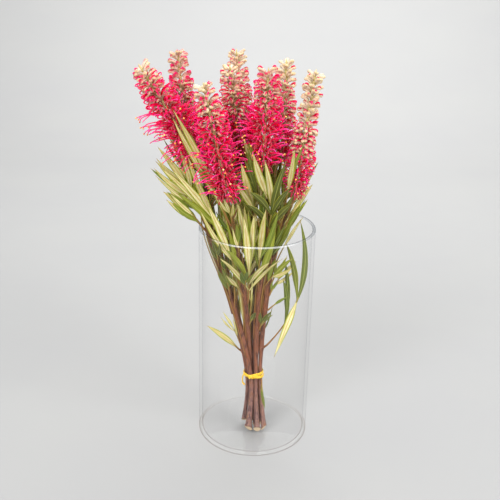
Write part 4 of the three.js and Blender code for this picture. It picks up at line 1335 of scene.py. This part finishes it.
def led(base, rows, reach, pitch, yaw):
    """Paths from base that keep to angles of pitch above the spike's square and yaw to its side."""
    pitch, yaw = np.radians(pitch)[..., None], np.radians(yaw)[..., None]
    level = np.cos(yaw) * rows.out[:, None] + np.sin(yaw) * rows.side[:, None]
    ways = np.cos(pitch) * level + np.sin(pitch) * rows.rise[:, None]
    steps = ways.shape[1]
    middles = (ways[:, 1:] + ways[:, :-1]) / 2
    run = np.cumsum(middles, axis=1) * np.asarray(reach)[:, None, None] / (steps - 1)
    return base[:, None] + np.concatenate([np.zeros((len(run), 1, 3)), run], axis=1)


def looped(tube, leave, height, beyond, lean):
    """Paths that leave a tube's back, bow clear of it, reach beyond its end and hook back to its tip."""
    start, end = tube[:, leave], tube[:, -2]
    chord = unit(end - start)
    up = tube[:, (leave + TUBE_STEPS - 2) // 2] - (start + end) / 2
    up = turned(square_to(up, chord), chord, lean[:, None])
    span = np.linalg.norm(end - start, axis=1)[:, None]
    t = np.linspace(0, 1, STYLE_STEPS)[None, :, None]
    height, beyond = height[:, None], beyond[:, None]
    first = start + 1.3 * height * up + 0.3 * span * chord
    second = end + 1.4 * height * up + 1.9 * beyond * chord
    return ((1 - t) ** 3 * start[:, None] + 3 * t * (1 - t) ** 2 * first[:, None]
            + 3 * t ** 2 * (1 - t) * second[:, None] + t ** 3 * end[:, None])


def nearby(crowd, spike):
    """The leaf and stem balls that florets of this spike could reach."""
    points = spike.at(np.linspace(0, 1, 12))
    near = np.linalg.norm(crowd.at[:, None] - points, axis=2).min(axis=1) < FLORET_REACH
    kept = near & ((crowd.owner >= LEAF_OWNER) | (crowd.owner < SPIKE_OWNER))
    return crowd.at[kept], crowd.radius[kept]


def is_free(paths, others, margin):
    at, radius = others
    if not len(at):
        return np.ones(len(paths), bool)
    apart = np.linalg.norm(paths[:, :, None] - at, axis=3) - radius
    return apart.min(axis=(1, 2)) > margin


# The sizes that a floret in the way of a leaf is tried at
SIZES = (1.0, 1.0, 0.9, 0.8, 0.65, 0.5, 0.35)


def grow_blooms(stem, rows, crowd, rng):
    """Tube and style paths of the open florets, and which styles have sprung free. Each floret is tried at
    smaller sizes and other angles until it clears the leaves and stems. Angles are in degrees."""
    count = len(rows.age)
    u = np.linspace(0, 1, TUBE_STEPS)
    v = np.linspace(0, 1, STYLE_STEPS)
    loose = rng.random(count) < 0.95 * eased((rows.age - 0.24) / 0.4)
    grown = np.clip(0.4 + rows.age * 2.6, 0, 1)
    lift = (48 - 34 * rows.age + rng.normal(0, 5, count))[:, None]
    curl = (96 - 20 * grown + 50 * loose + rng.normal(0, 9, count))[:, None]
    height = (2.2 + 4.4 * grown) * rng.uniform(0.7, 1.2, count)
    beyond = (1.6 + 7.6 * grown) * rng.uniform(0.6, 1.25, count) * min(1.0, stem.row.reach)
    lean = rng.normal(0, 16, count)
    reach = (36 - 14 * eased((rows.age - 0.5) / 0.5) + rng.normal(0, 3, count)) * stem.row.reach
    settle = (14 + rng.normal(0, 14, count))[:, None]
    sway = rng.normal(0, 19, (count, 2, 1))
    tube_run = 13.5 + 6 * grown - 4 * rows.age + rng.normal(0, 0.7, count)
    hook = rng.uniform(-60, 10, (count, 1)) * np.clip(v - 0.8, 0, 1) * 5
    others = nearby(crowd, stem.spike)
    size, nudge, veer = np.ones(count), np.zeros((count, 1)), np.zeros((count, 1))
    blocked = np.ones(count, bool)
    for trial in SIZES:
        tube = led(rows.base, rows, tube_run * np.minimum(1, size * 1.1),
                   lift + nudge - curl * u ** 1.5, veer + 0 * u)
        away = led(tube[:, OPEN_LEAVE], rows, reach * size,
                   lift + nudge + 30 * (1 - v) ** 2 + (settle - lift) * eased(v * 1.5) + hook,
                   veer + sway[:, 0] * v + sway[:, 1] * v ** 3)
        bound = looped(tube, OPEN_LEAVE, height * size, beyond * size, lean)
        style = np.where(loose[:, None, None], away, bound)
        blocked[blocked] = ~(is_free(style[blocked], others, STYLE_RADIUS)
                             & is_free(tube[blocked, FIRST_TRIED:], others, TUBE_MARGIN))
        if not blocked.any():
            break
        size = np.where(blocked, trial, size)
        nudge = np.where(blocked[:, None], rng.uniform(-25, 25, (count, 1)), nudge)
        veer = np.where(blocked[:, None], rng.uniform(-28, 28, (count, 1)), veer)
    return tube, style, loose


# How thick each part is along its length, as knots for profile
AXIS_SHAPE = ((0, 1.1), (0.85, 0.9), (0.97, 0.6), (1, 0.2))
TUBE_SHAPE = ((0, 0.3), (0.16, 0.34), (0.3, 0.72), (0.55, 0.85), (0.74, 0.78), (0.88, 1.1), (1, 0.3))
BUD_SHAPE = (
    (0, 0.26), (0.14, 0.3), (0.28, 0.66), (0.5, 0.84), (0.7, 0.8), (0.86, 1.12), (0.95, 0.8), (1, 0.2))
FREE_STYLE = ((0, 0.95), (0.3, 0.9), (0.9, 0.74), (1, 0.6))
BOUND_STYLE = ((0, 0.85), (0.3, 1.3), (0.7, 1.2), (1, 0.55))
BUD_STYLE = ((0, 0.4), (0.3, 1.25), (0.7, 1.35), (1, 0.5))


def upness(sides):
    """How far each point of a round section faces the spike's tip, from -1 to 1."""
    return -np.sin(turns_round(sides))


def sweep_axis(surface, stem, low, high, finish):
    share = np.linspace(low, high, AXIS_STEPS)
    radius = AXIS_RADIUS * profile(share, AXIS_SHAPE)
    surface.wire(stem.spike.at(share), EAST, radius, AXIS_SIDES, finish=finish)


def build_bloom(stem, materials):
    """The open part of a spike, a floret at a time."""
    rng = np.random.default_rng(BLOOM_SEED + stem.number)
    rows = floret_rows(stem, rng, OPEN_PAIRS)
    rows = rows.where(rows.share < stem.split)
    tube, style, loose = grow_blooms(stem, rows, bunch().crowd, rng)
    count = len(loose)
    tone = rng.random((count, 1, 1))
    side = rows.side[:, None]
    surface = Surface()
    girth = 2.2 - 0.9 * np.clip(rows.age * 3, 0, 1) - 0.2 * loose
    girth = girth[:, None] * profile(np.linspace(0, 1, TUBE_STEPS), TUBE_SHAPE)
    blush = 0.06 + 0.28 * stem.row.blush + 1.2 * rows.age + rng.normal(0, 0.12, count)
    blush = np.clip(blush[:, None, None] + 0.35 * upness(TUBE_SIDES), 0, 1)
    old = np.clip(rows.age * 2.1 - 0.1, 0, 1)[:, None, None]
    surface.sweep(tube, side, round_section(girth, TUBE_SIDES, 0.85), finish=0, age=old, blush=blush,
                  tone=tone)
    v = np.linspace(0, 1, STYLE_STEPS)
    slim = 0.8 + 0.2 * np.clip(rows.age * 4, 0, 1)[:, None]
    taper = STYLE_RADIUS * np.where(loose[:, None], profile(v, FREE_STYLE), profile(v, BOUND_STYLE) * slim)
    surface.sweep(style, side, round_section(taper, STYLE_SIDES), finish=1,
                  age=np.clip(rows.age * 0.7 + 0.45 * loose, 0, 1)[:, None, None], tone=tone)
    ripe = loose & (rng.random(count) < DISC_SHARE)
    tips = style[ripe]
    ahead = unit(tips[:, -1] - tips[:, -3])
    reach = np.linspace(-0.4, 1.3, len(DISC_SHAPE))[None, :, None]
    disc = tips[:, -1:] + reach * ahead[:, None]
    swell = DISC_RADIUS * np.tile(DISC_SHAPE, (len(tips), 1))
    surface.sweep(disc, side[ripe], round_section(swell, DISC_SIDES), finish=2, tone=tone[ripe])
    sweep_axis(surface, stem, 0.0, stem.split, 3)
    node = f"bloom_{stem.name}"
    return surface.build(f"florets_{node}", node, materials)


BUD_LENGTH = 15.0
BUD_RADIUS = 2.65


def build_bud_tip(stem, materials):
    """The closed top of a spike: plump buds that arch over, the older ones with their style bowed out."""
    rng = np.random.default_rng(BUD_SEED + stem.number)
    rows = floret_rows(stem, rng, BUD_PAIRS)
    rows = rows.where(rows.share >= stem.split)
    count = len(rows.share)
    youth = (rows.share - stem.split) / (1 - stem.split)
    size = 1 - 0.24 * youth ** 2 + rng.normal(0, 0.05, count)
    u = np.linspace(0, 1, TUBE_STEPS)
    lift = (50 + 6 * youth + rng.normal(0, 5, count))[:, None]
    curl = rng.normal(62, 9, (count, 1))
    yaw = rng.normal(0, 8, (count, 1)) + 0 * u
    bud = led(rows.base, rows, BUD_LENGTH * size, lift - curl * u ** 1.5, yaw)
    girth = (BUD_RADIUS * size)[:, None] * profile(u, BUD_SHAPE)
    tone = rng.random((count, 1, 1))
    side = rows.side[:, None]
    blush = 0.25 + stem.row.blush - (0.3 + 0.5 * stem.row.blush) * youth + rng.normal(0, 0.12, count)
    blush = np.clip(blush[:, None, None] * (0.65 + 0.5 * upness(TUBE_SIDES)), 0, 1)
    surface = Surface()
    surface.sweep(bud, side, round_section(girth, TUBE_SIDES, 0.92), finish=0, blush=blush, tone=tone)
    split = rng.random(count) < np.clip(0.9 + 0.5 * stem.row.blush - 1.25 * youth, 0, 1)
    open_buds = bud[split]
    bow = 1.6 + rng.uniform(0, 2.8, len(open_buds)) * (1.1 - youth[split])
    style = looped(open_buds, BUD_LEAVE, bow, 0.6 * bow, rng.normal(0, 25, len(open_buds)))
    taper = STYLE_RADIUS * profile(np.linspace(0, 1, STYLE_STEPS), BUD_STYLE)
    surface.sweep(style, side[split], round_section(np.tile(taper, (len(open_buds), 1)), STYLE_SIDES),
                  finish=1, tone=tone[split])
    sweep_axis(surface, stem, stem.split, 1.0, 2)
    node = f"bud_tip_{stem.name}"
    return surface.build(f"buds_{node}", node, materials)


# Stage, in metres

PAPER_HALF_WIDTH = 3.2
PAPER_FRONT = -2.6
PAPER_FLOOR_END = 1.3
PAPER_BEND = 0.9
PAPER_TOP = 3.4
# Each light's place, what it looks at, the width of its square, and the setting that holds its power
LIGHTS = {
    "key_softbox": ((-1.1, -1.9, 1.9), (0, 0, 0.25), 1.7, "key_power"),
    "fill_softbox": ((1.9, -1.2, 1.7), (0, 0, 0.25), 1.6, "fill_power"),
    "top_softbox": ((0.2, 0.5, 2.6), (0, 0.1, 0.0), 2.0, "top_power"),
    "back_softbox": ((0.15, 1.5, 1.6), (0.1, 2.0, 0.2), 1.8, "back_power"),
}


def camera_turn():
    yaw, pitch, roll = radians(CAMERA_YAW), radians(CAMERA_PITCH), radians(CAMERA_ROLL)
    look = Vector((-sin(yaw) * cos(pitch), cos(yaw) * cos(pitch), -sin(pitch)))
    level = Vector((cos(yaw), sin(yaw), 0))
    upright = level.cross(look)
    right = cos(roll) * level + sin(roll) * upright
    up = cos(roll) * upright - sin(roll) * level
    return Matrix((right, up, -look)).transposed()


def build_paper():
    """A sheet that runs level, bends up behind the vase and stands."""
    floor = np.linspace(PAPER_FRONT, PAPER_FLOOR_END, 14)
    bend = np.linspace(0.1, pi / 2, 12)
    back = PAPER_FLOOR_END + PAPER_BEND
    depth = np.concatenate([floor, PAPER_FLOOR_END + PAPER_BEND * np.sin(bend), [back, back]])
    height = np.concatenate([np.zeros(len(floor)), PAPER_BEND - PAPER_BEND * np.cos(bend),
                             [2 * PAPER_BEND, PAPER_TOP]])
    across = np.linspace(-PAPER_HALF_WIDTH, PAPER_HALF_WIDTH, 9)
    points = [(x, y, z) for y, z in zip(depth, height) for x in across]
    width = len(across)
    faces = [(i * width + j, i * width + j + 1, (i + 1) * width + j + 1, (i + 1) * width + j)
             for i in range(len(depth) - 1) for j in range(width - 1)]
    mesh = bpy.data.meshes.new("paper_sweep")
    mesh.from_pydata(points, [], faces)
    mesh.shade_smooth()
    mesh.materials.append(paper_material())
    paper = bpy.data.objects.new("paper_sweep", mesh)
    bpy.context.scene.collection.objects.link(paper)


def build_stage():
    """A paper sweep, soft lights and the photograph's camera."""
    build_paper()
    scene = bpy.context.scene
    settings = scene.grevillea
    for name, (place, aim, size, power) in LIGHTS.items():
        light = bpy.data.lights.new(name, "AREA")
        light.shape = "SQUARE"
        light.size = size
        light.energy = getattr(settings, power)
        lamp = bpy.data.objects.new(name, light)
        lamp.location = place
        lamp.rotation_euler = (Vector(aim) - Vector(place)).to_track_quat("-Z", "Y").to_euler()
        scene.collection.objects.link(lamp)
    world = bpy.data.worlds.new("studio_air")
    world.use_nodes = True
    air = world.node_tree.nodes["Background"].inputs
    air["Color"].default_value = linear(0xE6E7E8)
    air["Strength"].default_value = settings.air_strength
    scene.world = world
    scene.view_settings.view_transform = "Standard"
    camera = bpy.data.cameras.new("photo_camera")
    camera.sensor_width = SENSOR_WIDTH
    camera.lens = CAMERA_FOCAL * SENSOR_WIDTH / PICTURE_WIDTH
    view = bpy.data.objects.new("photo_camera", camera)
    view.matrix_world = Matrix.Translation(Vector(CAMERA_PLACE) * MM) @ camera_turn().to_4x4()
    scene.collection.objects.link(view)
    scene.camera = view


# The add-on

class GrevilleaSettings(bpy.types.PropertyGroup):
    """What a user would change about the light."""
    key_power: bpy.props.FloatProperty(
        name="Key light", description="Power of the softbox at the front left", default=74.0, min=0.0,
        unit="POWER")
    fill_power: bpy.props.FloatProperty(
        name="Fill light", description="Power of the softbox at the front right", default=54.0, min=0.0,
        unit="POWER")
    top_power: bpy.props.FloatProperty(
        name="Top light", description="Power of the softbox overhead", default=25.0, min=0.0, unit="POWER")
    back_power: bpy.props.FloatProperty(
        name="Back light", description="Power of the softbox over the paper behind", default=34.0, min=0.0,
        unit="POWER")
    air_strength: bpy.props.FloatProperty(
        name="Air light", description="Strength of the even light from all round", default=0.67, min=0.0)


class GREVILLEA_OT_vase(bpy.types.Operator):
    """Build the glass cylinder vase"""
    bl_idname = "grevillea.vase"
    bl_label = "Vase"

    def execute(self, context):
        build_vase()
        return {"FINISHED"}


class GREVILLEA_OT_stems(bpy.types.Operator):
    """Build the eight barked stems"""
    bl_idname = "grevillea.stems"
    bl_label = "Stems"

    def execute(self, context):
        materials = [bark_material(), cut_wood_material()]
        for stem in bunch().stems.values():
            build_stem(stem, materials)
        return {"FINISHED"}


class GREVILLEA_OT_tie(bpy.types.Operator):
    """Build the yellow tape with its knot"""
    bl_idname = "grevillea.tie"
    bl_label = "Tie"

    def execute(self, context):
        build_tie([tape_material()])
        return {"FINISHED"}


class GREVILLEA_OT_leaves(bpy.types.Operator):
    """Build the divided leaves"""
    bl_idname = "grevillea.leaves"
    bl_label = "Leaves"

    def execute(self, context):
        materials = [leaf_material(), stalk_material()]
        for index, plan in enumerate(bunch().plans):
            build_leaf(plan, index, materials)
        for name, plans in bunch().small.items():
            build_small_leaves(bunch().stems[name], plans, materials)
        return {"FINISHED"}


class GREVILLEA_OT_spikes(bpy.types.Operator):
    """Build the open florets and the bud tips of the spikes"""
    bl_idname = "grevillea.spikes"
    bl_label = "Flower spikes"

    def execute(self, context):
        tube, style = perianth_material(), style_material()
        pollen, axis = pollen_material(), axis_material()
        for stem in bunch().stems.values():
            build_bloom(stem, [tube, style, pollen, axis])
            build_bud_tip(stem, [tube, style, axis])
        return {"FINISHED"}


class GREVILLEA_OT_stage(bpy.types.Operator):
    """Lay the paper sweep and set the lights and the camera"""
    bl_idname = "grevillea.stage"
    bl_label = "Stage"

    def execute(self, context):
        build_stage()
        return {"FINISHED"}


PIECES = (GREVILLEA_OT_vase, GREVILLEA_OT_stems, GREVILLEA_OT_tie, GREVILLEA_OT_leaves, GREVILLEA_OT_spikes)


class GREVILLEA_PT_panel(bpy.types.Panel):
    """The pieces and settings in the 3D view's sidebar"""
    bl_idname = "GREVILLEA_PT_panel"
    bl_label = "Red grevillea"
    bl_space_type = "VIEW_3D"
    bl_region_type = "UI"
    bl_category = "Grevillea"

    def draw(self, context):
        settings = context.scene.grevillea
        for name in GrevilleaSettings.__annotations__:
            self.layout.prop(settings, name)
        for piece in (*PIECES, GREVILLEA_OT_stage):
            self.layout.operator(piece.bl_idname)


CLASSES = (GrevilleaSettings, *PIECES, GREVILLEA_OT_stage, GREVILLEA_PT_panel)


def register():
    for made in CLASSES:
        bpy.utils.register_class(made)
    bpy.types.Scene.grevillea = bpy.props.PointerProperty(type=GrevilleaSettings)


def unregister():
    del bpy.types.Scene.grevillea
    for made in reversed(CLASSES):
        bpy.utils.unregister_class(made)


def main():
    register()
    bpy.ops.grevillea.vase()
    bpy.ops.grevillea.stems()
    bpy.ops.grevillea.tie()
    bpy.ops.grevillea.leaves()
    bpy.ops.grevillea.spikes()
    bpy.ops.grevillea.stage()


if __name__ == "__main__":
    main()
